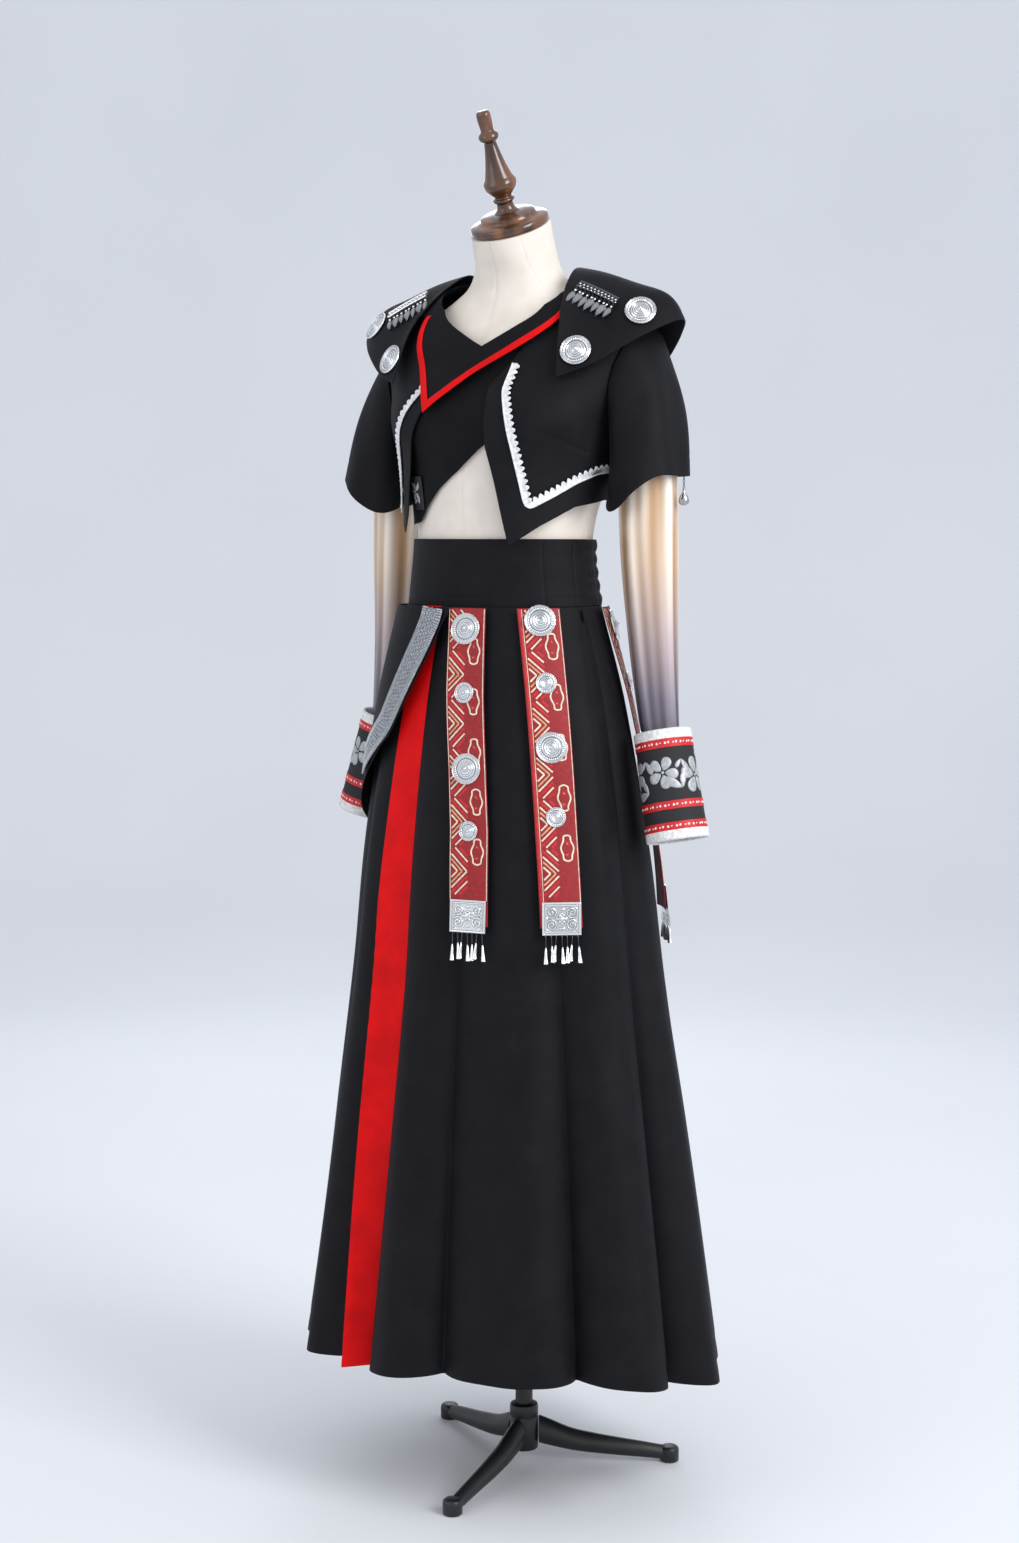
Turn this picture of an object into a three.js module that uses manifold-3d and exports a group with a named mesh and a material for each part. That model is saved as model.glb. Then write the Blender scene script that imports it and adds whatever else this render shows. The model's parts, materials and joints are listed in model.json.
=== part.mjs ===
// A black folk stage costume with silver bosses, worn on a limbless dress form on a tripod stand.
// Millimetres, +Z up, -Y is the wearer's front and +X the wearer's left.
// Angles (phi) are degrees round the pole, from the front towards the wearer's left.
import * as THREE from "three";
import { mergeVertices } from "three/addons/utils/BufferGeometryUtils.js";
import Module from "manifold-3d";

// ---------------------------------------------------------------- driving dimensions

// Rings of the dress form: height, centre y, half width, depth to the front, depth to the back.
const FORM = [
  [850, -28, 116, 82, 92],
  [900, -30, 134, 92, 102],
  [960, -34, 140, 95, 106],
  [1020, -40, 132, 94, 100],
  [1090, -45, 122, 90, 94],
  [1130, -45, 116, 88, 88],
  [1160, -44, 113, 88, 86],
  [1200, -38, 116, 93, 87],
  [1240, -27, 125, 105, 88],
  [1280, -18, 138, 116, 90],
  [1310, -14, 148, 118, 94],
  [1340, -10, 158, 112, 97],
  [1370, -6, 170, 102, 98],
  [1400, -2, 176, 92, 94],
  [1425, 0, 160, 80, 85],
  [1445, 0, 125, 70, 76],
  [1460, -2, 95, 62, 68],
  [1475, -6, 70, 55, 60],
  [1495, -14, 54, 50, 52],
  [1520, -22, 49, 49, 49],
  [1550, -32, 47, 47, 47],
];
const BUST = { share: 0.09, phi: 33, phiReach: 24, z: 1315, zReach: 38 };
const NECK_TOP = 1545;
const NECK_TILT = 25; // degrees, the wooden cap leans forward
const NECK_RADIUS = 47;

const CLOTH = 1.5; // wall of the suiting and the skirt
const GAP = 0.3; // between pieces that meet
const SEAM_TURN = 0.09; // degrees left open on each side of a vertical seam

const TOP_OUT = 5; // outer faces of the layers, measured out from the form
const JACKET_OUT = 10;
const BIB_OUT = 16;
const FLAP_WALL = 2;

const BAND = { top: 1172, bottom: 1093, out: 5 };
const SKIRT_TOP = BAND.bottom - GAP;
// Half width of the skirt over the tops of its flutes, by height.
const SKIRT_WIDTH = [
  [1093, 127],
  [974, 159],
  [800, 190],
  [648, 209],
  [457, 239],
  [150, 285],
];
const SKIRT_DEPTH_SHARE = 0.765;
const SKIRT_CENTRE = { top: -45, hem: -27 };
const HEM = { low: 153, rise: 34, towards: 34 };
const FLUTE = { top: 0.012, hem: 0.13 };
const VALLEYS = [-54, -32, -15.5, 8, 48, 82, 115, 150, 185, 220, 255, 280];
const GORES = [
  ["skirt_godet_red", -32, -15.5],
  ["skirt_gore_front", -15.5, 48],
  ["skirt_gore_left", 48, 115],
  ["skirt_gore_back_left", 115, 185],
  ["skirt_gore_back_right", 185, 255],
  ["skirt_gore_right", 255, 328],
];

const RIBBON = { width: 47, bottom: 722, out: 7, wall: 1.6 };
// Each ribbon's middle line: heights and angles. The front one hangs plumb, so its angle grows.
const RIBBONS = [
  [
    "ribbon_front",
    [
      [722, 14],
      [832, 13.5],
      [904, 12],
      [992, 9.5],
      [1090, 7.5],
    ],
  ],
  [
    "ribbon_left_front",
    [
      [722, 47],
      [1090, 47],
    ],
  ],
  [
    "ribbon_left_side",
    [
      [722, 126],
      [832, 119],
      [950, 112],
      [1090, 110],
    ],
  ],
];
// Heights of the bosses on each ribbon, and the radii that alternate.
const BOSS_HEIGHTS = {
  ribbon_front: [1066, 992, 904, 832],
  ribbon_left_front: [1076, 1004, 930, 850],
  ribbon_left_side: [1068, 1000, 922, 845],
};
const BOSS_RADII = [18.8, 12.4, 18.4, 11.8];
const PLATE = { width: 45.5, height: 38, thick: 1.8, below: 8 };
const CONES = { count: 7, margin: 4, length: 36, flare: 14, radius: 2.9, wire: 0.9, overlap: 2 };

const HIP_FLAP_OUT = { front: 13, side: 9 };
const HIP_FLAP = [
  [-2, 1084],
  [-5, 1071],
  [-9.5, 1041],
  [-14, 1020],
  [-18, 996],
  [-27.5, 940],
  [-41, 908],
  [-56, 878],
  [-70, 838],
  [-88, 805],
  [-106, 820],
  [-124, 868],
  [-142, 935],
  [-156, 1010],
  [-165, 1078],
];
const HIP_TRIM = [
  [-11.3, 1089],
  [-11.7, 1077],
  [-16, 1047],
  [-23, 1006],
  [-32.5, 950],
  [-44.7, 923],
  [-60, 893],
];
const HIP_TRIM_WIDTH = 32;

const POLE = { radius: 11, bottom: 40, top: 849.7 };
const COLLAR = { radius: 18, bottom: 20, top: 79 };
const LEGS = [
  ["stand_leg_left", 36],
  ["stand_leg_back", 156],
  ["stand_leg_front", 276],
];
const LEG_REACH = 200;

// Sections of each undersleeve: height, distance from the middle, y, half width, half depth.
const UNDERSLEEVE_LEFT = [
  [932, 208, -17, 22.5, 22.5],
  [957, 202, -15, 24, 24],
  [1050, 192, -12, 29, 29],
  [1165, 184, -9, 34, 34],
  [1250, 182.5, -8, 33, 33],
  [1286, 185, -8, 23, 33],
];
const UNDERSLEEVE_RIGHT = [
  [932, 226, 20, 22.5, 22.5],
  [957, 219, 18, 24, 24],
  [1050, 203, 10, 29, 29],
  [1165, 190, 0, 34, 34],
  [1250, 182.5, -8, 33, 33],
  [1286, 185, -8, 23, 33],
];
// Each cuff's top and bottom: distance from the middle, y, height, radius.
const CUFF_LEFT = { top: [207, -16, 944, 33.5], bottom: [235, -26, 820, 36.5] };
const CUFF_RIGHT = { top: [224, 19, 944, 33.5], bottom: [258, 16, 820, 36.5] };
const CUFF_WALL = 2.4;
const SLEEVE_OUT = 14.5;
const ARMHOLE = { y: -5, z: 1350, halfY: 56, halfZ: 72 };

// ---------------------------------------------------------------- materials

const finish = (color, roughness, metalness) => () =>
  new THREE.MeshStandardMaterial({ color, roughness, metalness });
const LINEN = finish(0xe8e0d8, 0.85, 0);
const WALNUT = finish(0x4a2812, 0.25, 0);
const STAND = finish(0x17181a, 0.45, 0.3);
const SUITING = finish(0x1b1b22, 0.8, 0);
const SCARLET = finish(0xe8050a, 0.7, 0);
const BROCADE = finish(0xb01a22, 0.65, 0);
const SILVER = finish(0xc9cdd0, 0.3, 1);
const LACE = finish(0xd8dadd, 0.55, 0.3);
const SATIN = finish(0xcbb9a8, 0.35, 0);
const CUFF_CLOTH = finish(0x2a2a30, 0.75, 0);

// ---------------------------------------------------------------- small helpers

const wasm = await Module();
wasm.setup();
const deg = THREE.MathUtils.degToRad;
const lerp = THREE.MathUtils.lerp;
const vec = (x, y, z) => new THREE.Vector3(x, y, z);
const range = (n) => Array.from({ length: n }, (_, i) => i);
const spread = (from, to, n) => range(n + 1).map((i) => lerp(from, to, i / n));

// A smooth value at x through the rows of a table; column 0 holds x, rising or falling.
function smooth(table, x, column) {
  const rows = table[0][0] <= table[table.length - 1][0] ? table : [...table].reverse();
  const last = rows.length - 1;
  const at = Math.min(Math.max(x, rows[0][0]), rows[last][0]);
  let i = 0;
  while (i < last - 1 && at > rows[i + 1][0]) i += 1;
  const span = rows[i + 1][0] - rows[i][0];
  const t = (at - rows[i][0]) / span;
  const slope = (j) => {
    const a = rows[Math.max(j - 1, 0)];
    const b = rows[Math.min(j + 1, last)];
    return ((b[column] - a[column]) / (b[0] - a[0])) * span;
  };
  const t2 = t * t;
  const t3 = t2 * t;
  return (
    (2 * t3 - 3 * t2 + 1) * rows[i][column] +
    (t3 - 2 * t2 + t) * slope(i) +
    (3 * t2 - 2 * t3) * rows[i + 1][column] +
    (t3 - t2) * slope(i + 1)
  );
}

// A straight-line value at x through the rows of a table.
function linear(table, x) {
  const rows = table[0][0] <= table[table.length - 1][0] ? table : [...table].reverse();
  const last = rows.length - 1;
  if (x <= rows[0][0]) return rows[0][1];
  if (x >= rows[last][0]) return rows[last][1];
  let i = 0;
  while (x > rows[i + 1][0]) i += 1;
  return lerp(rows[i][1], rows[i + 1][1], (x - rows[i][0]) / (rows[i + 1][0] - rows[i][0]));
}

// The angle brought into -180..180.
const wrapped = (phi) => ((((phi + 180) % 360) + 360) % 360) - 180;

// A point moved out of the surface at(phi, z) along its normal.
function movedOut(at, phi, z, out) {
  const p = at(phi, z);
  if (!out) return p;
  const along = at(phi + 0.5, z).sub(at(phi - 0.5, z));
  const upwards = at(phi, z + 1).sub(at(phi, z - 1));
  return p.addScaledVector(along.cross(upwards).normalize(), out);
}

// The dress form's own surface.
function formPoint(phi, z) {
  const [y, a, front, back] = [1, 2, 3, 4].map((column) => smooth(FORM, z, column));
  const c = Math.cos(deg(phi));
  const s = Math.sin(deg(phi));
  const sideways = (Math.abs(wrapped(phi)) - BUST.phi) / BUST.phiReach;
  const upwards = (z - BUST.z) / BUST.zReach;
  const bust = 1 + BUST.share * Math.exp(-sideways * sideways - upwards * upwards);
  return vec(a * s * bust, y - (c > 0 ? front : back) * c * bust, z);
}
const onForm = (phi, z, out) => movedOut(formPoint, phi, z, out);

// The jacket leaves the form below the bust and hangs straight.
function jacketOut(phi, z) {
  const front = Math.max(0, Math.cos(deg(wrapped(phi)) * 0.75));
  const drop = Math.max(0, 1312 - z);
  return JACKET_OUT + drop * lerp(0.03, 0.09, front);
}
const onJacket = (phi, z, out) => onForm(phi, z, jacketOut(phi, z) + out);

// The skirt over the tops of its flutes, and with its flutes.
const hemAt = (phi) => {
  const facing = Math.max(0, Math.cos(deg(phi - HEM.towards)));
  return HEM.low + HEM.rise * facing * facing;
};
const skirtDrop = (phi, z) => (SKIRT_TOP - z) / (SKIRT_TOP - hemAt(phi));
function skirtPoint(phi, z, share = 1) {
  const a = smooth(SKIRT_WIDTH, z, 1) * share;
  const y = lerp(SKIRT_CENTRE.top, SKIRT_CENTRE.hem, Math.min(1, skirtDrop(phi, z)));
  return vec(a * Math.sin(deg(phi)), y - a * SKIRT_DEPTH_SHARE * Math.cos(deg(phi)), z);
}
const onSkirt = (phi, z, out) => movedOut(skirtPoint, phi, z, out);
function fluteShare(phi, z) {
  const first = VALLEYS[0];
  const at = first + ((((phi - first) % 360) + 360) % 360);
  let i = 0;
  while (i < VALLEYS.length - 1 && at >= VALLEYS[i + 1] - 1e-6) i += 1;
  const next = i + 1 < VALLEYS.length ? VALLEYS[i + 1] : first + 360;
  const hill = Math.pow(Math.abs(Math.sin((Math.PI * (at - VALLEYS[i])) / (next - VALLEYS[i]))), 0.6);
  const depth = lerp(FLUTE.top, FLUTE.hem, Math.max(0, skirtDrop(phi, z)));
  return 1 - depth * (1 - hill);
}
const flutedPoint = (phi, z) => skirtPoint(phi, z, fluteShare(phi, z));

// ---------------------------------------------------------------- closed meshes

function meshFrom(points, faces) {
  let volume = 0;
  for (const [a, b, c] of faces) {
    volume += points[a].dot(points[b].clone().cross(points[c]));
  }
  const index = faces.flatMap(([a, b, c]) => (volume > 0 ? [a, b, c] : [a, c, b]));
  const geometry = new THREE.BufferGeometry();
  geometry.setAttribute(
    "position",
    new THREE.Float32BufferAttribute(points.flatMap((p) => p.toArray()), 3),
  );
  geometry.setIndex(index);
  return geometry;
}

const quad = (a, b, c, d) => [
  [a, b, c],
  [a, c, d],
];

// Cloth as a wall: the grid rows[j][i] is the outer face and the inner one lies `wall` behind it.
// `round` closes it along i. `side` is 1 where the grid's own normal points out, else -1.
// `behind` gives the inner grid where it is known.
function clothWall(rows, wall, round = false, side = 1, behind = null) {
  const m = rows.length;
  const n = rows[0].length;
  const before = (i) => (round ? (i + n - 1) % n : Math.max(i - 1, 0));
  const after = (i) => (round ? (i + 1) % n : Math.min(i + 1, n - 1));
  const normal = (j, i) => {
    const across = rows[j][after(i)].clone().sub(rows[j][before(i)]);
    const upwards = rows[Math.min(j + 1, m - 1)][i].clone().sub(rows[Math.max(j - 1, 0)][i]);
    return across.cross(upwards).normalize().multiplyScalar(side);
  };
  const outer = rows.flat();
  const inner = behind
    ? behind.flat()
    : range(m).flatMap((j) =>
        range(n).map((i) => rows[j][i].clone().addScaledVector(normal(j, i), -wall)),
      );
  const out = (j, i) => j * n + (i % n);
  const inn = (j, i) => m * n + j * n + (i % n);
  const faces = [];
  const columns = round ? n : n - 1;
  for (let j = 0; j < m - 1; j += 1) {
    for (let i = 0; i < columns; i += 1) {
      faces.push(...quad(out(j, i), out(j, i + 1), out(j + 1, i + 1), out(j + 1, i)));
      faces.push(...quad(inn(j, i), inn(j + 1, i), inn(j + 1, i + 1), inn(j, i + 1)));
    }
  }
  for (let i = 0; i < columns; i += 1) {
    faces.push(...quad(out(0, i + 1), out(0, i), inn(0, i), inn(0, i + 1)));
    faces.push(...quad(out(m - 1, i), out(m - 1, i + 1), inn(m - 1, i + 1), inn(m - 1, i)));
  }
  if (!round) {
    for (let j = 0; j < m - 1; j += 1) {
      faces.push(...quad(out(j, 0), out(j + 1, 0), inn(j + 1, 0), inn(j, 0)));
      faces.push(...quad(out(j + 1, n - 1), out(j, n - 1), inn(j, n - 1), inn(j + 1, n - 1)));
    }
  }
  return meshFrom([...outer, ...inner], faces);
}

// A panel between two heights that vary with phi, on any surface on(phi, z, out).
function panel(on, columns, zLow, zHigh, shares, out, wall, round = false) {
  const face = (reach) =>
    shares.map((v) => columns.map((phi) => on(phi, lerp(zLow(phi), zHigh(phi), v), reach)));
  return clothWall(face(out), wall, round, 1, face(out - wall));
}

// The same for a bodice panel: even bands up to the chest, then rows that follow the shoulder.
const CHEST = 1340;
const SHOULDER_SHARES = [0.33, 0.51, 0.7, 0.86, 1];
function bodicePanel(on, columnsAt, zLow, zHigh, bands, out) {
  const columns = range(columnsAt(CHEST).length);
  const face = (reach) => {
    const at = (phiOf, z) => on(phiOf(z), z, reach);
    const rows = [];
    spread(0, 1, bands).forEach((v) => rows.push((low) => lerp(low, CHEST, v)));
    SHOULDER_SHARES.forEach((v) => rows.push((low, high) => lerp(CHEST, high, v)));
    return rows.map((height) =>
      columns.map((i) => {
        const nominal = columnsAt(CHEST)[i];
        const z = height(zLow(nominal), zHigh(nominal));
        return at((level) => columnsAt(level)[i], z);
      }),
    );
  };
  return { rows: face(out), inner: face(out - CLOTH) };
}

// A flat strip along a path of [phi, z] on a surface, mitred at its corners.
function strip(on, corners, width, out, wall, step = 16) {
  const path = subdivided(on, corners, step);
  const n = path.length;
  const radius = (phi, z) => {
    const p = on(phi, z, 0);
    const q = on(phi + 1, z, 0);
    return p.distanceTo(q);
  };
  const direction = (i, j) => {
    const [a, b] = [path[i], path[j]];
    const mm = radius((a[0] + b[0]) / 2, (a[1] + b[1]) / 2);
    return new THREE.Vector2((b[0] - a[0]) * mm, b[1] - a[1]).normalize();
  };
  const rows = [[], []];
  const behind = [[], []];
  path.forEach(([phi, z], i) => {
    const into = direction(Math.max(i - 1, 0), Math.max(i, 1));
    const from = direction(Math.min(i, n - 2), Math.min(i + 1, n - 1));
    const along = into.clone().add(from).normalize();
    const reach = width / 2 / Math.max(0.4, along.dot(into));
    const mm = radius(phi, z);
    for (const [row, sign] of [
      [0, -1],
      [1, 1],
    ]) {
      const turn = phi - (along.y * reach * sign) / mm;
      const height = z + along.x * reach * sign;
      rows[row].push(on(turn, height, out));
      behind[row].push(on(turn, height, out - wall));
    }
  });
  return clothWall(rows, wall, false, 1, behind);
}

// A path of [phi, z] with points put in so that no step is longer than `step`.
function subdivided(on, corners, step) {
  return corners.flatMap(([phi, z], i) => {
    if (i === corners.length - 1) return [[phi, z]];
    const [nextPhi, nextZ] = corners[i + 1];
    const parts = Math.ceil(on(phi, z, 0).distanceTo(on(nextPhi, nextZ, 0)) / step);
    return range(parts).map((k) => [lerp(phi, nextPhi, k / parts), lerp(z, nextZ, k / parts)]);
  });
}

function lathe(profile, segments) {
  const geometry = new THREE.LatheGeometry(
    profile.map(([r, z]) => new THREE.Vector2(r, z)),
    segments,
  );
  return geometry.rotateX(Math.PI / 2);
}

function toSolid(geometry) {
  const plain = geometry.clone();
  plain.deleteAttribute("normal");
  plain.deleteAttribute("uv");
  const merged = mergeVertices(plain, 1e-3);
  const triVerts = new Uint32Array(merged.index.array);
  const vertProperties = new Float32Array(merged.attributes.position.array);
  return new wasm.Manifold(new wasm.Mesh({ numProp: 3, vertProperties, triVerts }));
}

function fromSolid(solid) {
  const { numProp, vertProperties, triVerts } = solid.getMesh();
  const geometry = new THREE.BufferGeometry();
  const positions = [];
  for (let i = 0; i < vertProperties.length; i += numProp) {
    positions.push(...vertProperties.subarray(i, i + 3));
  }
  geometry.setAttribute("position", new THREE.Float32BufferAttribute(positions, 3));
  geometry.setIndex([...triVerts]);
  return geometry;
}

const joined = (pieces) =>
  fromSolid(pieces.map(toSolid).reduce((all, next) => wasm.Manifold.union(all, next)));
const cut = (geometry, tool) => fromSolid(toSolid(geometry).subtract(toSolid(tool)));

// A geometry laid on a surface: its +Z along the outward direction and its +Y upwards.
function laid(geometry, point, outward, upwards = vec(0, 0, 1)) {
  const z = outward.clone().normalize();
  const x = upwards.clone().cross(z).normalize();
  const y = z.clone().cross(x);
  const turn = new THREE.Matrix4().makeBasis(x, y, z).setPosition(point);
  return geometry.clone().applyMatrix4(turn);
}
const outwardAt = (on, phi, z) => on(phi, z, 1).sub(on(phi, z, 0)).normalize();

// ---------------------------------------------------------------- the object

const costume = new THREE.Group();
function add(name, geometry, material) {
  geometry.computeVertexNormals();
  const mesh = new THREE.Mesh(geometry, material());
  mesh.name = name;
  costume.add(mesh);
  return mesh;
}
const mirrored = (geometry) => {
  const copy = geometry.clone().applyMatrix4(new THREE.Matrix4().makeScale(-1, 1, 1));
  const index = copy.index.array;
  for (let i = 0; i < index.length; i += 3) {
    [index[i + 1], index[i + 2]] = [index[i + 2], index[i + 1]];
  }
  return copy;
};

// ---- dress form and stand

function formTorso() {
  const heights = [
    850, 900, 960, 1020, 1090, 1130, 1165, 1205, 1245, 1280, 1315, 1350, 1380, 1402, 1425, 1445, 1462,
    1478, 1500, 1520, NECK_TOP,
  ];
  const columns = 24;
  const points = heights.flatMap((z) => {
    const lean = Math.max(0, (z - 1490) / (NECK_TOP - 1490));
    return range(columns).map((i) => {
      const phi = (i * 360) / columns;
      const p = onForm(phi, z, 0);
      p.z -= lean * NECK_RADIUS * Math.cos(deg(phi)) * Math.tan(deg(NECK_TILT));
      return p;
    });
  });
  const top = heights.length - 1;
  const at = (j, i) => j * columns + (i % columns);
  const faces = [];
  for (let j = 0; j < top; j += 1) {
    for (let i = 0; i < columns; i += 1) {
      faces.push(...quad(at(j, i), at(j, i + 1), at(j + 1, i + 1), at(j + 1, i)));
    }
  }
  const centre = (j) =>
    range(columns)
      .reduce((sum, i) => sum.add(points[at(j, i)]), vec(0, 0, 0))
      .divideScalar(columns);
  points.push(centre(0), centre(top));
  for (let i = 0; i < columns; i += 1) {
    faces.push([at(0, i + 1), at(0, i), points.length - 2]);
    faces.push([at(top, i), at(top, i + 1), points.length - 1]);
  }
  return { geometry: meshFrom(points, faces), neck: points[points.length - 1] };
}

const torso = formTorso();
add("form_torso", torso.geometry, LINEN);

// The cap and the finial stand on the tilted neck.
const lean = new THREE.Matrix4()
  .makeRotationX(deg(NECK_TILT))
  .setPosition(torso.neck.clone().add(vec(0, 0, 0.6)));
const CAP = [
  [0, 0],
  [46, 0],
  [48, 3],
  [48, 7],
  [45, 10],
  [36, 12],
  [33, 14],
  [33, 17],
  [22, 20],
  [0, 20],
];
const FINIAL = [
  [0, 20.3],
  [15, 20.3],
  [11, 26],
  [10.5, 32],
  [13, 35],
  [10.5, 38],
  [13, 42],
  [19, 50],
  [20, 57],
  [17, 63],
  [13.5, 76],
  [9, 93],
  [7.5, 104],
  [11.5, 109],
  [12, 114],
  [8, 119],
  [8.5, 129],
  [8.5, 139],
  [6, 142],
  [0, 142],
];
add("form_neck_cap", lathe(CAP, 20).applyMatrix4(lean), WALNUT);
add("form_finial", lathe(FINIAL, 14).applyMatrix4(lean), WALNUT);

const ring = (r, low, high, segments) =>
  lathe(
    [
      [0, low],
      [r, low],
      [r, high],
      [0, high],
    ],
    segments,
  );
const tube = (inner, outer, low, high, segments) =>
  lathe(
    [
      [inner, low],
      [outer, low],
      [outer, high - 3],
      [outer - 3, high],
      [inner, high],
      [inner, low],
    ],
    segments,
  );
add("stand_pole", ring(POLE.radius, POLE.bottom, POLE.top, 14), STAND);
add("stand_collar", tube(POLE.radius + GAP + 0.4, COLLAR.radius, COLLAR.bottom, COLLAR.top, 14), STAND);

// A cast leg: a low bar with a ridge, falling from the collar to a flat round foot.
function standLeg(angle) {
  const start = COLLAR.radius + GAP + 0.5;
  const sections = [
    [start, 12, 27, 62],
    [60, 12, 17, 44],
    [120, 10, 9, 31],
    [180, 8.5, 3, 20],
  ];
  const points = sections.flatMap(([x, half, low, high]) => [
    vec(x, -half, low),
    vec(x, half, low),
    vec(x, half, lerp(low, high, 0.6)),
    vec(x, half * 0.35, high),
    vec(x, -half * 0.35, high),
    vec(x, -half, lerp(low, high, 0.6)),
  ]);
  const faces = [];
  for (let j = 0; j < sections.length - 1; j += 1) {
    for (let i = 0; i < 6; i += 1) {
      const k = (i + 1) % 6;
      faces.push(...quad(j * 6 + i, j * 6 + k, (j + 1) * 6 + k, (j + 1) * 6 + i));
    }
  }
  const last = (sections.length - 1) * 6;
  for (let i = 1; i < 5; i += 1) {
    faces.push([0, i + 1, i]);
    faces.push([last, last + i, last + i + 1]);
  }
  const bar = meshFrom(points, faces);
  const foot = ring(12, 0, 19, 14).translate(LEG_REACH - 14, 0, 0);
  return joined([bar, foot]).rotateZ(deg(angle));
}
LEGS.forEach(([name, angle]) => add(name, standLeg(angle), STAND));

// ---- crop top, bib and piping

const TOP_HEM = [
  [-180, 1240],
  [-120, 1232],
  [-90, 1215],
  [-58, 1190],
  [-38, 1193],
  [-16, 1232],
  [0, 1256],
  [14, 1284],
  [22, 1290],
  [40, 1284],
  [90, 1262],
  [140, 1244],
  [180, 1240],
];
const NECKLINE = [
  [-180, 1464],
  [-100, 1474],
  [-70, 1466],
  [-40, 1450],
  [-26, 1438],
  [-12, 1416],
  [4, 1392],
  [18, 1416],
  [32, 1438],
  [46, 1450],
  [74, 1466],
  [100, 1474],
  [180, 1464],
];
const PIPING = [
  [-180, 1436],
  [-120, 1447],
  [-90, 1452],
  [-60, 1446],
  [-34, 1428],
  [-24, 1374],
  [-16, 1320],
  [0, 1352],
  [20, 1392],
  [40, 1428],
  [60, 1446],
  [90, 1452],
  [120, 1447],
  [180, 1436],
];
const around = spread(-180, 165, 23);
const withCorners = (corners) => [...new Set([...around, ...corners])].sort((a, b) => a - b);
const armholeCutter = (grow) => {
  const hole = new THREE.CylinderGeometry(1, 1, 500, 18, 1);
  hole.rotateZ(Math.PI / 2);
  hole.scale(1, ARMHOLE.halfY + grow, ARMHOLE.halfZ + grow);
  return hole.translate(0, ARMHOLE.y, ARMHOLE.z);
};

const topColumns = withCorners([-38, 22]);
const topGrid = bodicePanel(
  onForm,
  () => topColumns,
  (phi) => linear(TOP_HEM, wrapped(phi)),
  (phi) => linear(NECKLINE, wrapped(phi)) - 10,
  5,
  TOP_OUT,
);
const topTube = clothWall(topGrid.rows, CLOTH, true, 1, topGrid.inner);
add("crop_top", cut(topTube, armholeCutter(-8)), SUITING);

add(
  "bib",
  panel(
    onForm,
    withCorners([-24, -16, 4]),
    (phi) => linear(PIPING, wrapped(phi)),
    (phi) => linear(NECKLINE, wrapped(phi)),
    [0, 0.5, 1],
    BIB_OUT,
    CLOTH,
    true,
  ),
  SUITING,
);
const pipingPath = [-34, -24, -15, 0, 20, 40].map((phi) => [phi, linear(PIPING, phi) + 3]);
add("bib_piping", strip(onForm, pipingPath, 8, BIB_OUT + 2.2, 1.2), SCARLET);

add(
  "top_patch",
  panel(onForm, [-46, -38, -30], () => 1208, () => 1248, [0, 0.5, 1], TOP_OUT + 2.4, 1),
  CUFF_CLOTH,
);

// ---- jacket

const EDGE_LEFT = [
  [1164, 32],
  [1236, 22],
  [1280, 16],
  [1312, 14],
  [1345, 12],
  [1440, 30],
];
const EDGE_RIGHT = [
  [1164, 46],
  [1200, 40],
  [1240, 38],
  [1292, 27],
  [1324, 19],
  [1345, 14],
  [1440, 30],
];
const JACKET_HEM = [
  [0, 1164],
  [32, 1164],
  [48, 1188],
  [68, 1212],
  [90, 1222],
  [130, 1225],
  [180, 1226],
];
const JACKET_TOP = [
  [0, 1400],
  [14, 1388],
  [30, 1420],
  [90, 1462],
  [180, 1450],
];
const hemOf = (phi) => linear(JACKET_HEM, Math.abs(wrapped(phi)));
const jacketTopOf = (phi) => linear(JACKET_TOP, Math.abs(wrapped(phi)));

// A front: its columns run from its own slanted edge to the side seam.
function jacketFront(edge, tip) {
  const side = 90 - SEAM_TURN;
  const columnsAt = (z) => spread(linear(edge, z), side, 8);
  const nominal = (phi) => lerp(tip, side, (phi - linear(edge, CHEST)) / (side - linear(edge, CHEST)));
  const grid = bodicePanel(
    onJacket,
    columnsAt,
    (phi) => hemOf(nominal(phi)),
    (phi) => jacketTopOf(phi),
    5,
    0,
  );
  return cut(clothWall(grid.rows, CLOTH, false, 1, grid.inner), armholeCutter(0));
}
add("jacket_front_left", jacketFront(EDGE_LEFT, 32), SUITING);
add("jacket_front_right", mirrored(jacketFront(EDGE_RIGHT, 46)), SUITING);
const backColumns = spread(90 + SEAM_TURN, 270 - SEAM_TURN, 12);
const backGrid = bodicePanel(onJacket, () => backColumns, hemOf, jacketTopOf, 4, 0);
const jacketBack = clothWall(backGrid.rows, CLOTH, false, 1, backGrid.inner);
add("jacket_back", cut(jacketBack, armholeCutter(0)), SUITING);

const LACE_LEFT = [
  [20, 1374],
  [20, 1340],
  [25, 1308],
  [32, 1260],
  [40, 1210],
  [52, 1226],
  [64, 1244],
  [76, 1256],
  [90, 1260],
];
const LACE_RIGHT = [
  [-90, 1260],
  [-78, 1250],
  [-68, 1230],
  [-59, 1206],
  [-55, 1238],
  [-46, 1268],
  [-37, 1296],
  [-29, 1322],
  [-21, 1348],
];
const laceBack = [[180, 1262]];
const lacePath = [...LACE_LEFT, ...laceBack, ...LACE_RIGHT.map(([phi, z]) => [phi + 360, z])];
add("jacket_lace", strip(onJacket, lacePath, 11, 2.8, 1.1, 15), LACE);

// ---- short sleeves, from the armhole to a wide low hem

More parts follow.
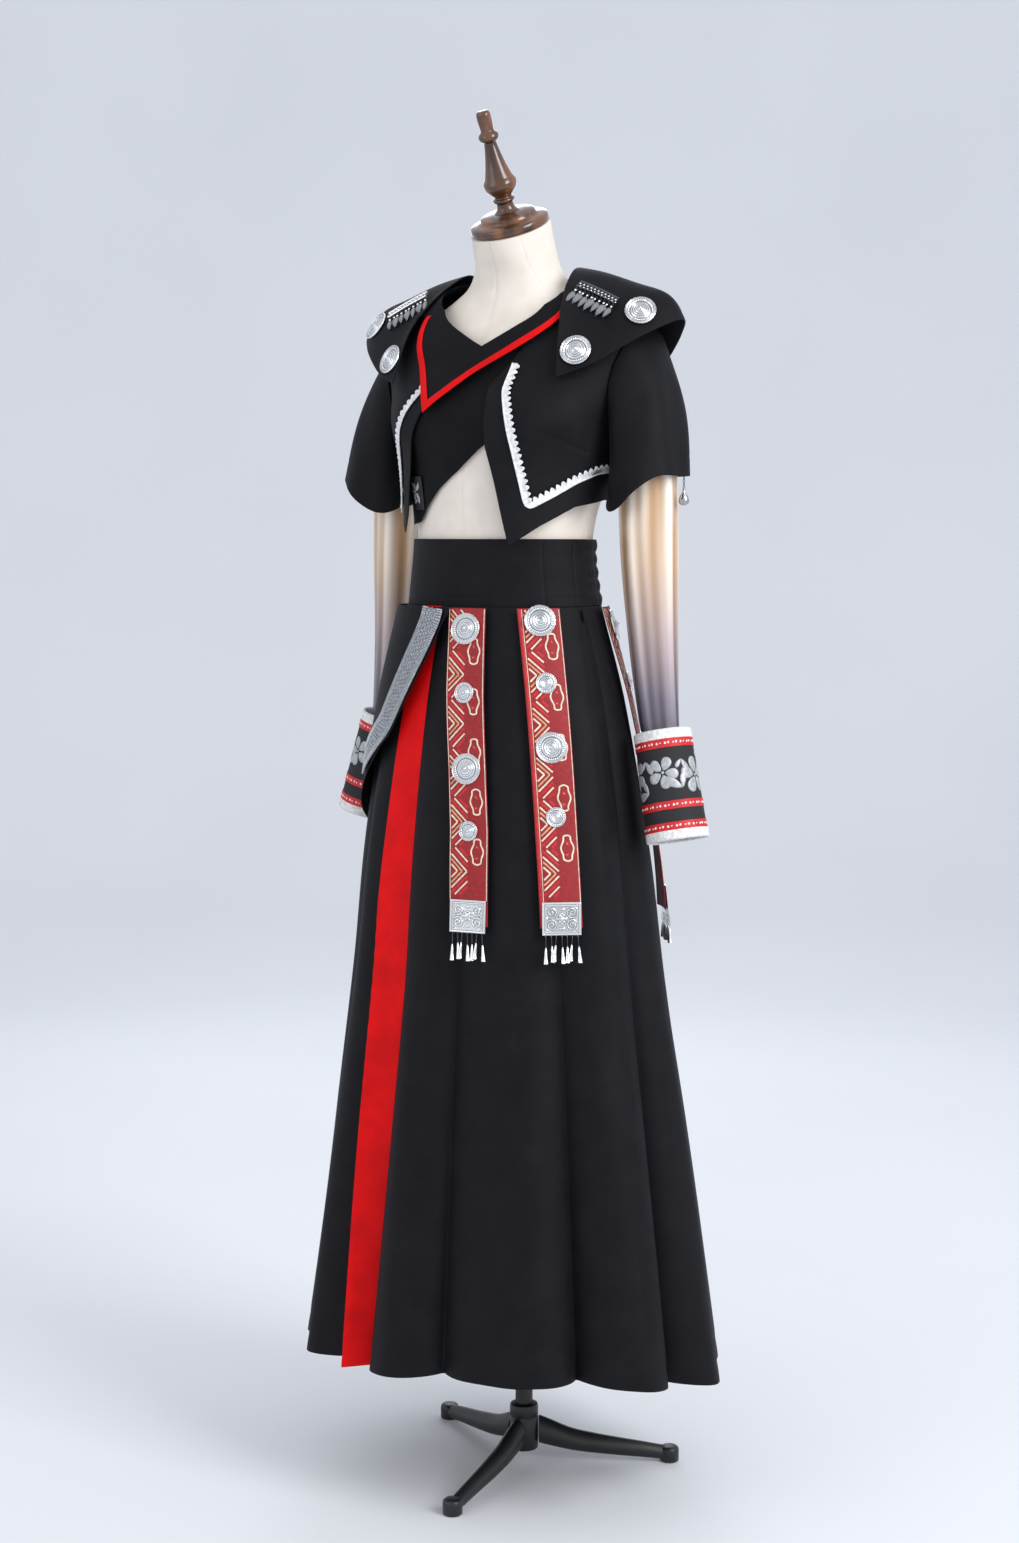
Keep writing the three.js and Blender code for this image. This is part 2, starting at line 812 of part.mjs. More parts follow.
const SLEEVE_HEM_LEFT = { x: 188, y: -22, halfX: 46, halfY: 55 };
const SLEEVE_HEM_RIGHT = { x: 197, y: -16, halfX: 53, halfY: 56 };
function sleeveRings(hem) {
  const steps = 20;
  return spread(0, 1, 5).map((v) =>
    range(steps).map((i) => {
      const t = (i * 2 * Math.PI) / steps;
      const y0 = ARMHOLE.y - (ARMHOLE.halfY + 1.5) * Math.cos(t);
      const z0 = ARMHOLE.z + (ARMHOLE.halfZ + 1.5) * Math.sin(t);
      const a = smooth(FORM, z0, 2);
      const b = smooth(FORM, z0, y0 < smooth(FORM, z0, 1) ? 3 : 4);
      const inside = Math.min(0.98, Math.abs(y0 - smooth(FORM, z0, 1)) / (b + SLEEVE_OUT));
      const x0 = (a + SLEEVE_OUT) * Math.sqrt(1 - inside * inside);
      const hemX = hem.x + hem.halfX * Math.sin(t);
      const hemY = hem.y - hem.halfY * Math.cos(t);
      const dip = Math.max(0, Math.cos(t - deg(-30)));
      const hemZ = 1247 - 42 * dip * dip;
      const cap = Math.sin(Math.PI * v) * 12 * Math.max(0, Math.sin(t));
      return vec(lerp(x0, hemX, v) + cap, lerp(y0, hemY, v), lerp(z0, hemZ, v) + cap * 0.2);
    }),
  );
}
const sleeve = (hem) => clothWall(sleeveRings(hem), CLOTH, true, -1);
add("short_sleeve_left", sleeve(SLEEVE_HEM_LEFT), SUITING);
add("short_sleeve_right", mirrored(sleeve(SLEEVE_HEM_RIGHT)), SUITING);

// ---- satin undersleeves and embroidered cuffs

function tubeRings(sections, steps, fold) {
  return sections.map(([z, x, y, halfX, halfY]) =>
    range(steps).map((i) => {
      const t = (i * 2 * Math.PI) / steps;
      const size = 1 + fold * Math.cos(5 * t);
      return vec(x + halfX * size * Math.cos(t), y + halfY * size * Math.sin(t), z);
    }),
  );
}
const undersleeve = (sections) => clothWall(tubeRings(sections, 15, 0.05), CLOTH, true, 1);
add("undersleeve_left", undersleeve(UNDERSLEEVE_LEFT), SATIN);
add("undersleeve_right", mirrored(undersleeve(UNDERSLEEVE_RIGHT)), SATIN);

function cuffShell({ top, bottom }) {
  const axis = vec(top[0] - bottom[0], top[1] - bottom[1], top[2] - bottom[2]).normalize();
  const across = vec(0, 1, 0).cross(axis).normalize();
  const along = axis.clone().cross(across);
  const rows = spread(0, 1, 3).map((v) => {
    const centre = vec(...range(3).map((k) => lerp(bottom[k], top[k], v)));
    const r = lerp(bottom[3], top[3], v);
    return range(16).map((i) => {
      const t = (i * 2 * Math.PI) / 16;
      return centre
        .clone()
        .addScaledVector(across, r * Math.cos(t))
        .addScaledVector(along, r * Math.sin(t));
    });
  });
  return clothWall(rows, CUFF_WALL, true, 1);
}
add("cuff_left", cuffShell(CUFF_LEFT), CUFF_CLOTH);
add("cuff_right", mirrored(cuffShell(CUFF_RIGHT)), CUFF_CLOTH);

// ---- shoulder flaps: wide pointed collars that cap the shoulders

const FLAP_NECK = new THREE.CatmullRomCurve3([
  vec(104, -80, 1440),
  vec(90, -45, 1474),
  vec(80, -3, 1496),
  vec(90, 40, 1484),
  vec(104, 78, 1448),
]);
const FLAP_EDGE = new THREE.CatmullRomCurve3([
  vec(118, -112, 1360),
  vec(157, -90, 1377),
  vec(200, -54, 1408),
  vec(226, -8, 1428),
  vec(196, 42, 1414),
  vec(154, 80, 1388),
  vec(118, 104, 1374),
]);
// A point of the left flap: s runs from the front to the back, t from the neck outwards.
// The flap arches over the shoulder and its outer edge curls down.
const FLAP_ARCH = 13;
const FLAP_CURL = 14;
function flapPoint(s, t) {
  const p = FLAP_NECK.getPoint(s).lerp(FLAP_EDGE.getPoint(s), t);
  const ridge = Math.sin(Math.PI * s);
  const curl = (Math.pow(t, 6) * (1 - t)) / 0.0566;
  p.z += FLAP_ARCH * Math.sin(Math.PI * t) * (0.6 + 0.4 * ridge) + FLAP_CURL * Math.pow(ridge, 3) * curl;
  return p;
}
const flapRows = [0, 0.2, 0.4, 0.6, 0.75, 0.87, 1].map((t) =>
  spread(0, 1, 10).map((s) => flapPoint(s, t)),
);
const flap = clothWall(flapRows, FLAP_WALL, false, -1);
add("shoulder_flap_left", flap, SUITING);
add("shoulder_flap_right", mirrored(flap), SUITING);

function flapOutward(s, t) {
  const across = flapPoint(s + 0.02, t).sub(flapPoint(s - 0.02, t));
  const along = flapPoint(s, t + 0.02).sub(flapPoint(s, t - 0.02));
  const normal = along.cross(across).normalize();
  return normal.z < 0 ? normal.negate() : normal;
}

// ---- silver: bosses, brooches, drops, ribbon ends

const boss = (r) =>
  lathe(
    [
      [0, 0],
      [r, 0],
      [r, 1.4],
      [r * 0.6, 2.6],
      [0, r * 0.36],
    ],
    12,
  );
const onFlap = (geometry, s, t, lift) =>
  laid(geometry, flapPoint(s, t).addScaledVector(flapOutward(s, t), lift), flapOutward(s, t));
const flapFrontBoss = onFlap(boss(18.5), 0.1, 0.82, 1.4);
const flapTipBoss = onFlap(boss(18.5), 0.36, 0.88, 1.4);
add("boss_flap_left_front", flapFrontBoss, SILVER);
add("boss_flap_left_tip", flapTipBoss, SILVER);
add("boss_flap_right_front", mirrored(flapFrontBoss), SILVER);
add("boss_flap_right_tip", mirrored(flapTipBoss), SILVER);

const BROOCH = { length: 62, depth: 9, thick: 3, leaves: 9, leafLength: 27, leafWidth: 6.4 };
function brooch() {
  const bar = new THREE.BoxGeometry(BROOCH.length, BROOCH.depth, BROOCH.thick);
  bar.translate(0, 0, BROOCH.thick / 2);
  const leaf = new THREE.Shape([
    new THREE.Vector2(-0.9, 0),
    new THREE.Vector2(-0.9, -10),
    new THREE.Vector2(-BROOCH.leafWidth / 2, -18),
    new THREE.Vector2(0, -BROOCH.leafLength),
    new THREE.Vector2(BROOCH.leafWidth / 2, -18),
    new THREE.Vector2(0.9, -10),
    new THREE.Vector2(0.9, 0),
  ]);
  const leaves = range(BROOCH.leaves).map((i) => {
    const x = lerp(-BROOCH.length / 2 + 3.5, BROOCH.length / 2 - 3.5, i / (BROOCH.leaves - 1));
    return new THREE.ExtrudeGeometry(leaf, { depth: 1.4, bevelEnabled: false }).translate(x, -3, 0.6);
  });
  return joined([bar, ...leaves]);
}
function broochOnFlap() {
  const [from, to] = [flapPoint(0.28, 0.2), flapPoint(0.33, 0.75)];
  const middle = flapPoint(0.3, 0.47);
  const outward = flapOutward(0.24, 0.47);
  const along = to.clone().sub(from).normalize();
  const upwards = outward.clone().cross(along);
  return laid(brooch(), middle.addScaledVector(outward, 5.5), outward, upwards);
}
const broochPiece = broochOnFlap();
add("brooch_left", broochPiece, SILVER);
add("brooch_right", mirrored(broochPiece), SILVER);

// A pear drop on its hook below the outer back of each sleeve hem.
const DROP_HOOK_LEFT = vec(226, -2, 1245.5);
const DROP_HOOK_RIGHT = vec(-244, 14, 1245.5);
const DROP = [
  [0, -34],
  [4, -33],
  [6.5, -28],
  [5.5, -22],
  [2.2, -15],
  [1.1, -13],
  [1.1, 0],
  [0, 0],
];
const drop = (hook) => lathe(DROP, 10).translate(...hook.toArray());
add("sleeve_drop_left", drop(DROP_HOOK_LEFT), SILVER);
add("sleeve_drop_right", drop(DROP_HOOK_RIGHT), SILVER);

// ---- skirt

add(
  "waistband",
  panel(
    onForm,
    spread(-180, 168.75, 31),
    () => BAND.bottom,
    () => BAND.top,
    [0, 0.5, 1],
    BAND.out,
    1.6,
    true,
  ),
  SUITING,
);

// Columns of a gore: close together at each valley, where the fold turns sharply.
function goreColumns(from, to) {
  const lines = VALLEYS.concat(VALLEYS.map((v) => v + 360)).filter((v) => v >= from && v <= to);
  const columns = [from + SEAM_TURN];
  for (let i = 0; i < lines.length - 1; i += 1) {
    const width = lines[i + 1] - lines[i];
    const shares = width < 15 ? [0.15, 0.5, 0.85] : [0.07, 0.25, 0.5, 0.75, 0.93];
    shares.forEach((share) => columns.push(lines[i] + width * share));
    if (i < lines.length - 2) columns.push(lines[i + 1]);
  }
  return [...columns, to - SEAM_TURN];
}
const SKIRT_ROWS = [1, 0.78, 0.55, 0.34, 0.17, 0.07, 0];
function gore(from, to) {
  const rows = SKIRT_ROWS.map((drop) =>
    goreColumns(from, to).map((phi) => flutedPoint(phi, lerp(SKIRT_TOP, hemAt(phi), drop))),
  );
  return clothWall(rows, CLOTH);
}
GORES.forEach(([name, from, to]) =>
  add(name, gore(from, to), name.endsWith("red") ? SCARLET : SUITING),
);

// The flap stands out from the skirt most at the front and less beside the arm.
const hipOut = (phi) =>
  lerp(HIP_FLAP_OUT.front, HIP_FLAP_OUT.side, Math.min(1, Math.max(0, (-phi - 30) / 60)));
const onHip = (phi, z, out) => onSkirt(phi, z, out + hipOut(phi));
const hipColumns = HIP_FLAP.map(([phi]) => phi).reverse();
add(
  "hip_flap",
  panel(
    onHip,
    hipColumns,
    (phi) => linear(HIP_FLAP, phi),
    () => 1090,
    spread(0, 1, 5),
    0,
    CLOTH,
  ),
  SUITING,
);
add("hip_trim", strip(onHip, HIP_TRIM, HIP_TRIM_WIDTH, 3.8, 1.4, 22), LACE);

// ---- ribbons with their bosses and metal ends

function ribbonShell(path) {
  const rows = spread(RIBBON.bottom, 1090, 6).map((z) => {
    const phi = linear(path, z);
    const perDegree = skirtPoint(phi, z).distanceTo(skirtPoint(phi + 1, z));
    const half = RIBBON.width / 2 / perDegree;
    return spread(phi - half, phi + half, 4).map((at) => onSkirt(at, z, RIBBON.out));
  });
  return clothWall(rows, RIBBON.wall);
}

// A stamped plate with a row of cones on wires along its lower edge.
function ribbonEnd() {
  const plate = new THREE.BoxGeometry(PLATE.width, PLATE.height, PLATE.thick);
  const profile = [
    [0, -CONES.length],
    [CONES.radius, -CONES.length],
    [CONES.wire, CONES.flare - CONES.length],
    [CONES.wire, CONES.overlap],
    [0, CONES.overlap],
  ];
  const reach = PLATE.width / 2 - CONES.margin;
  const hanging = spread(-reach, reach, CONES.count - 1).map((x) =>
    lathe(profile, 6)
      .rotateX(-Math.PI / 2)
      .translate(x, -PLATE.height / 2, 0),
  );
  return joined([plate, ...hanging]);
}

RIBBONS.forEach(([name, path]) => {
  add(name, ribbonShell(path), BROCADE);
  BOSS_HEIGHTS[name].forEach((z, i) => {
    const phi = linear(path, z);
    const outward = outwardAt(onSkirt, phi, z);
    const point = onSkirt(phi, z, RIBBON.out + 0.8);
    add("boss_" + name + "_" + (i + 1), laid(boss(BOSS_RADII[i]), point, outward), SILVER);
  });
  const low = RIBBON.bottom + PLATE.height / 2 - PLATE.below;
  const phi = linear(path, low);
  const outward = outwardAt(onSkirt, phi, low);
  const point = onSkirt(phi, low, RIBBON.out + PLATE.thick / 2 + 0.6);
  add("end_" + name, laid(ribbonEnd(), point, outward), SILVER);
});

// The zip's pull tab, just under the waistband.
const tabAt = [77.5, 1082];
add(
  "zip_tab",
  laid(
    new THREE.BoxGeometry(4, 15, 1.6),
    onSkirt(...tabAt, 2.2),
    outwardAt(onSkirt, ...tabAt),
  ),
  SUITING,
);

// The whole stands centred over the origin.
const whole = new THREE.Group();
whole.add(costume);
const box = new THREE.Box3().setFromObject(costume, true);
const middle = box.getCenter(vec(0, 0, 0));
costume.position.set(-middle.x, -middle.y, -box.min.z);

export default whole;
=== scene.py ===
# %% [markdown]
# # A black folk costume on a dress form
#
# The costume is a cropped open jacket with shoulder collars, a wrapped crop top, dyed satin
# undersleeves with flowered cuffs, and a long fluted skirt hung with brocade ribbons and stamped
# silver. The frame gives every size and place. This file turns each plain piece of that frame
# into cloth, wood or metal. Everything is worked in millimetres round the stand's pole and
# turned into metres once, when a mesh is made.

import json
import math

import bmesh
import bpy
import numpy as np
from mathutils import Matrix, Vector

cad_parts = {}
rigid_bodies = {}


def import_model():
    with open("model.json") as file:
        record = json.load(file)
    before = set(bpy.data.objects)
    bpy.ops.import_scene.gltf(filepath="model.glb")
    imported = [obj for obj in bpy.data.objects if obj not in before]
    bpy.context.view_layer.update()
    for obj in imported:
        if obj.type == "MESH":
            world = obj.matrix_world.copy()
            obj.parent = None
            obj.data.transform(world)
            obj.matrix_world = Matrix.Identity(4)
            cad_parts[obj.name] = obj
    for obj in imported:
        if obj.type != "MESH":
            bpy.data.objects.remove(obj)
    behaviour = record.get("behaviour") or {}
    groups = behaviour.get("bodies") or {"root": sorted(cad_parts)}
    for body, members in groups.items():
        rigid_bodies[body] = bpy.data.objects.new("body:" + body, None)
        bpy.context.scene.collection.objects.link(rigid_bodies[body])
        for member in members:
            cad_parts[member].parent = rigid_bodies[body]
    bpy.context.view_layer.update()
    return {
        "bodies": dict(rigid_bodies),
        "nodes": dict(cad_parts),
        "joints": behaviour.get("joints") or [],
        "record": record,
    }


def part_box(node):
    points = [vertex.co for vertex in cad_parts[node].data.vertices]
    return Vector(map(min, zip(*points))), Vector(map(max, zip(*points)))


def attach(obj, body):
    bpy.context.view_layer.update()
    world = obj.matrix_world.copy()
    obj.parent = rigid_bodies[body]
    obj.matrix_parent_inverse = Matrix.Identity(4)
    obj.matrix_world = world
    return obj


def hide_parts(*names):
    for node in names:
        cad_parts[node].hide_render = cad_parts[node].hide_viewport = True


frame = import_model()
pole_low, pole_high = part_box("stand_pole")
POLE_X = (pole_low[0] + pole_high[0]) / 2
POLE_Y = (pole_low[1] + pole_high[1]) / 2
print("the pole stands at", round(POLE_X, 4), round(POLE_Y, 4))

# %% [markdown]
# ## The shapes that cloth follows
#
# A dressmaker works from a few girths taken round a form. The same is done here: a table holds
# rings of the dress form, and a smooth curve runs through them. Each garment layer is that
# surface moved out by some millimetres, so layers never cut into each other. Angles go round
# the pole from the wearer's front (-Y) towards the wearer's left (+X).

# %% The dress form's rings
FORM = np.array(
    [
        [850, -28, 116, 82, 92],
        [900, -30, 134, 92, 102],
        [960, -34, 140, 95, 106],
        [1020, -40, 132, 94, 100],
        [1090, -45, 122, 90, 94],
        [1130, -45, 116, 88, 88],
        [1160, -44, 113, 88, 86],
        [1200, -38, 116, 93, 87],
        [1240, -27, 125, 105, 88],
        [1280, -18, 138, 116, 90],
        [1310, -14, 148, 118, 94],
        [1340, -10, 158, 112, 97],
        [1370, -6, 170, 102, 98],
        [1400, -2, 176, 92, 94],
        [1425, 0, 160, 80, 85],
        [1445, 0, 125, 70, 76],
        [1460, -2, 95, 62, 68],
        [1475, -6, 70, 55, 60],
        [1495, -14, 54, 50, 52],
        [1520, -22, 49, 49, 49],
        [1550, -32, 47, 47, 47],
    ],
    dtype=float,
)
BUST_SHARE, BUST_PHI, BUST_PHI_REACH, BUST_Z, BUST_Z_REACH = 0.09, 33, 24, 1315, 38
SKIRT_WIDTH = np.array(
    [[150, 285], [457, 239], [648, 209], [800, 190], [974, 159], [1093, 127]], dtype=float
)
SKIRT_DEPTH_SHARE = 0.765
SKIRT_TOP = 1092.7
VALLEYS = [-54, -32, -15.5, 8, 48, 82, 115, 150, 185, 220, 255, 280]
BAND_LOW, BAND_TOP = 1093, 1172


# %% Smooth curves through a table
def smooth(table, x, column):
    """A smooth value at each x through the rows of a table whose column 0 rises."""
    xs = table[:, 0]
    ys = table[:, column]
    x = np.clip(x, xs[0], xs[-1])
    i = np.clip(np.searchsorted(xs, x, side="left") - 1, 0, len(xs) - 2)
    slopes = np.empty_like(ys)
    slopes[1:-1] = (ys[2:] - ys[:-2]) / (xs[2:] - xs[:-2])
    slopes[0] = (ys[1] - ys[0]) / (xs[1] - xs[0])
    slopes[-1] = (ys[-1] - ys[-2]) / (xs[-1] - xs[-2])
    span = xs[i + 1] - xs[i]
    t = (x - xs[i]) / span
    return (
        (2 * t**3 - 3 * t**2 + 1) * ys[i]
        + (t**3 - 2 * t**2 + t) * slopes[i] * span
        + (3 * t**2 - 2 * t**3) * ys[i + 1]
        + (t**3 - t**2) * slopes[i + 1] * span
    )


def through(rows, x):
    """Straight lines through rows of (x, y)."""
    rows = sorted(rows)
    return np.interp(x, [r[0] for r in rows], [r[1] for r in rows])


def soft_step(x, low, high):
    """0 below low, 1 above high, with a smooth rise between."""
    t = np.clip((x - low) / (high - low), 0, 1)
    return t * t * (3 - 2 * t)


def wrapped(phi):
    return (np.asarray(phi, dtype=float) + 180) % 360 - 180


def hump(x, centre, reach):
    return np.exp(-(((x - centre) / reach) ** 2))


# %% Surfaces of the form, the jacket and the skirt
def form_point(phi, z):
    phi, z = np.broadcast_arrays(np.asarray(phi, float), np.asarray(z, float))
    y, a, front, back = (smooth(FORM, z, k) for k in (1, 2, 3, 4))
    c, s = np.cos(np.radians(phi)), np.sin(np.radians(phi))
    bust = 1 + BUST_SHARE * hump(np.abs(wrapped(phi)), BUST_PHI, BUST_PHI_REACH) * hump(
        z, BUST_Z, BUST_Z_REACH
    )
    return np.stack([a * s * bust, y - np.where(c > 0, front, back) * c * bust, z], -1)


def moved_out(at, phi, z, out):
    """Points of the surface at(phi, z), moved out along its normal."""
    phi, z = np.broadcast_arrays(np.asarray(phi, float), np.asarray(z, float))
    along = at(phi + 0.5, z) - at(phi - 0.5, z)
    upwards = at(phi, z + 1) - at(phi, z - 1)
    normal = np.cross(along, upwards)
    normal /= np.linalg.norm(normal, axis=-1, keepdims=True)
    return at(phi, z) + normal * np.asarray(out, float)[..., None]


def on_form(phi, z, out=0.0):
    return moved_out(form_point, phi, z, out)


def jacket_out(phi, z):
    """The jacket leaves the form below the bust and hangs straight."""
    front = np.maximum(0, np.cos(np.radians(wrapped(phi) * 0.75)))
    return 10 + np.maximum(0, 1312 - z) * (0.03 + 0.06 * front)


def on_jacket(phi, z, out=0.0):
    return on_form(phi, z, jacket_out(phi, np.asarray(z, float)) + out)


def hem_at(phi):
    facing = np.maximum(0, np.cos(np.radians(np.asarray(phi, float) - 34)))
    return 153 + 34 * facing**2


def skirt_drop(phi, z):
    return np.clip((SKIRT_TOP - z) / (SKIRT_TOP - hem_at(phi)), 0, 1)


def skirt_point(phi, z, share=1.0):
    phi, z = np.broadcast_arrays(np.asarray(phi, float), np.asarray(z, float))
    a = smooth(SKIRT_WIDTH, z, 1) * share
    y = -45 + 18 * skirt_drop(phi, z)
    c, s = np.cos(np.radians(phi)), np.sin(np.radians(phi))
    return np.stack([a * s, y - a * SKIRT_DEPTH_SHARE * c, z], -1)


def on_skirt(phi, z, out=0.0):
    return moved_out(skirt_point, phi, z, out)


def hip_out(phi):
    return 13 - 4 * np.clip((-np.asarray(phi, float) - 30) / 60, 0, 1)


def on_hip(phi, z, out=0.0):
    return on_skirt(phi, z, out + hip_out(phi))


waist = on_form(np.arange(0, 361, 3), 1165)
print("waist girth", round(float(np.linalg.norm(np.diff(waist, axis=0), axis=1).sum())), "mm")

# %% [markdown]
# ## Making a piece
#
# Real cloth has two faces and an edge that rolls over, so every cloth piece here is a closed
# wall: a fine grid for the outer face, the same grid a little further in, and a rounded rim
# that joins them. The grid is worked out as one array, which is quick, and its flat size in
# metres goes into a UV map, so that a weave can be drawn at its true scale on any piece.

# %% Turning arrays into a piece
MM = 0.001


def to_metres(points):
    return np.asarray(points, float).reshape(-1, 3) * MM + (POLE_X, POLE_Y, 0)


def new_piece(name, points, faces, material, body="root", uv=None, smooth_angle=40):
    """A piece from points in millimetres round the pole; uv is one pair a point or a corner."""
    mesh = bpy.data.meshes.new(name)
    mesh.from_pydata(to_metres(points).tolist(), [], [list(f) for f in faces])
    if uv is not None:
        uv = np.asarray(uv, np.float32)
        if len(uv) != len(mesh.loops):
            loops = np.empty(len(mesh.loops), dtype=np.int32)
            mesh.loops.foreach_get("vertex_index", loops)
            uv = uv[loops]
        mesh.uv_layers.new(name="UVMap").data.foreach_set("uv", uv.ravel())
    mesh.polygons.foreach_set("use_smooth", [True] * len(mesh.polygons))
    mesh.set_sharp_from_angle(angle=math.radians(smooth_angle))
    piece = bpy.data.objects.new(name, mesh)
    bpy.context.scene.collection.objects.link(piece)
    mesh.materials.append(material)
    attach(piece, body)
    return piece


def grid_faces(m, n, round_it, first=0, flip=False):
    columns = n if round_it else n - 1
    j, i = np.meshgrid(np.arange(m - 1), np.arange(columns), indexing="ij")
    k = (i + 1) % n
    quads = np.stack([j * n + i, j * n + k, (j + 1) * n + k, (j + 1) * n + i], -1).reshape(-1, 4)
    return (quads[:, ::-1] if flip else quads) + first


def flat_uv(outer, round_it=False):
    """Distances in metres along the rows and up the columns, one pair for each face corner."""
    grid = np.concatenate([outer, outer[:, :1]], axis=1) if round_it else outer
    across = np.linalg.norm(np.diff(grid, axis=1), axis=-1)
    u = np.concatenate([np.zeros((len(grid), 1)), np.cumsum(across, axis=1)], axis=1)
    u -= u[:, u.shape[1] // 2][:, None]
    upwards = np.linalg.norm(np.diff(grid, axis=0), axis=-1)
    v = np.concatenate([np.zeros((1, grid.shape[1])), np.cumsum(upwards, axis=0)], axis=0)
    pairs = np.stack([u, v], -1) * MM
    corners = [pairs[:-1, :-1], pairs[:-1, 1:], pairs[1:, 1:], pairs[1:, :-1]]
    return np.stack(corners, axis=2).reshape(-1, 4, 2)


def unit(vectors):
    return vectors / np.maximum(np.linalg.norm(vectors, axis=-1, keepdims=True), 1e-9)


def normals_of(grid, round_it=False):
    """Unit normals of a grid whose columns go anticlockwise from above and rows go up."""
    if round_it:
        along = np.roll(grid, -1, axis=1) - np.roll(grid, 1, axis=1)
    else:
        along = np.gradient(grid, axis=1)
    return unit(np.cross(along, np.gradient(grid, axis=0)))


def cloth(name, outer, material, thick=1.2, round_it=False, hole=None, fold=None, angle=50):
    """A closed wall of cloth under a grid (rows, columns, 3), with a rounded rim.

    hole(points) is true inside a cut such as an armhole. fold is a value a point from 0 in a
    crease to 1 on a ridge, which the satin reads to paint shade into the creases and a
    highlight onto the ridges.
    """
    m, n = outer.shape[:2]
    inner = outer - normals_of(outer, round_it) * thick
    faces = grid_faces(m, n, round_it)
    corners = flat_uv(outer, round_it)
    flat = outer.reshape(-1, 3)
    if hole is not None:
        keep = ~hole(flat)[faces].all(axis=1)
        faces, corners = faces[keep], corners[keep]
    total = m * n
    starts = faces.ravel()
    ends = np.roll(faces, -1, axis=1).ravel()
    lone = ~np.isin(starts.astype(np.int64) * total + ends, ends.astype(np.int64) * total + starts)
    start, end, edge_uv = starts[lone], ends[lone], corners.reshape(-1, 2)[lone]
    next_uv = np.roll(corners, -1, axis=1).reshape(-1, 2)[lone]
    points = np.concatenate([flat, inner.reshape(-1, 3)])
    up = flat - inner.reshape(-1, 3)
    away = np.zeros_like(flat)
    sideways = np.cross(flat[end] - flat[start], unit(up[start]))
    np.add.at(away, start, sideways)
    np.add.at(away, end, sideways)
    rim = np.unique(start)
    slot_of = np.zeros(total, dtype=np.int64)
    slot_of[rim] = np.arange(len(rim)) + 2 * total
    rim_points = flat[rim] - up[rim] / 2 + unit(away[rim]) * thick * 0.4
    points = np.concatenate([points, rim_points])
    front = np.stack([end, start, slot_of[start], slot_of[end]], -1)
    rear = np.stack([slot_of[end], slot_of[start], start + total, end + total], -1)
    rim_uv = np.stack([next_uv, edge_uv, edge_uv, next_uv], axis=1)
    every = np.concatenate([faces, faces[:, ::-1] + total, front, rear])
    uvs = np.concatenate([corners, corners[:, ::-1], rim_uv, rim_uv]).reshape(-1, 2)
    used, tidy = np.unique(every, return_inverse=True)
    tidy = tidy.reshape(every.shape)
    piece = new_piece(
        name, points[used], tidy.tolist(), material, uv=uvs, smooth_angle=angle
    )
    # The fold values go to the satin as an attribute, which paints shade into its creases and a highlight
    # onto its ridges.
    if fold is not None:
        values = np.concatenate([fold.ravel(), fold.ravel(), fold.ravel()[rim]])[used]
        layer = piece.data.attributes.new("fold", "FLOAT", "POINT")
        layer.data.foreach_set("value", values.astype(np.float32))
    return piece


def steps_with_edges(low, high, count, edge=0.004):
    """Even steps from low to high, with one more very close to each end to keep the rim crisp."""
    t = np.concatenate([[0, edge], np.linspace(0, 1, count + 1)[1:-1], [1 - edge, 1]])
    return low + (high - low) * t


# %% [markdown]
# A sheet's flat size is what a cutter would lay out on the table. It is measured on the piece's
# own grid, so that what is kept in the list of sheets is the cloth that is really there.

# %% Flat sizes
sheets = []


def as_sheet(piece, outer, round_it=False, cut_out=0.0):
    """Adds a cloth piece's name, with its flat width, length and area, all in metres, to the list sheets.
    """
    grid = np.concatenate([outer, outer[:, :1]], axis=1) if round_it else outer
    width = float(np.linalg.norm(np.diff(grid, axis=1), axis=-1).sum(axis=1).max() * MM)
    length = float(np.linalg.norm(np.diff(grid, axis=0), axis=-1).sum(axis=0).max() * MM)
    a = grid[:-1, :-1] - grid[1:, 1:]
    b = grid[:-1, 1:] - grid[1:, :-1]
    area = float(np.linalg.norm(np.cross(a, b), axis=-1).sum() / 2 * MM * MM) - cut_out
    area = min(max(area, 0.31 * width * length), width * length)
    flat = (round(width, 3), round(length, 3))
    area = min(area, flat[0] * flat[1])
    sheets.append((piece.name, *flat, round(area, 4)))
    return piece


print("ready to cut cloth")

# %% [markdown]
# ## Materials
#
# Each finish starts from what the real one is. Colours are written as the sRGB hex values that a
# colour chart gives, and one function turns them to the linear light that a renderer adds up.
# Patterns read the UV map or the object's own metres, so their scales are real sizes.

# %% Colour and node helpers
def linear(hex_colour):
    """An sRGB hex colour as linear red, green, blue and alpha."""
    parts = [int(hex_colour[i : i + 2], 16) / 255 for i in (1, 3, 5)]
    return [c / 12.92 if c <= 0.04045 else ((c + 0.055) / 1.055) ** 2.4 for c in parts] + [1.0]


def add_node(tree, kind, inputs=None, **settings):
    """Adds a node; inputs maps a socket's name or number to a value or to another socket."""
    node = tree.nodes.new(kind)
    for key, value in settings.items():
        setattr(node, key, value)
    for key, value in (inputs or {}).items():
        socket = node.inputs[key]
        if isinstance(value, bpy.types.NodeSocket):
            tree.links.new(value, socket)
        else:
            socket.default_value = value
    return node


def ramp(tree, fac, stops):
    """Colours blended along fac; stops are (place, hex colour)."""
    node = add_node(tree, "ShaderNodeValToRGB", {"Fac": fac})
    elements = node.color_ramp.elements
    while len(elements) < len(stops):
        elements.new(0.5)
    for element, (place, colour) in zip(elements, stops):
        element.position = place
        element.color = linear(colour)
    return node.outputs["Color"]


def new_material(name, shader_values):
    """A material with one Principled shader, whose uniform values are set on its own sockets."""
    material = bpy.data.materials.new(name)
    material.use_nodes = True
    tree = material.node_tree
    shader = tree.nodes["Principled BSDF"]
    for key, value in shader_values.items():
        shader.inputs[key].default_value = value
    return material, tree, shader


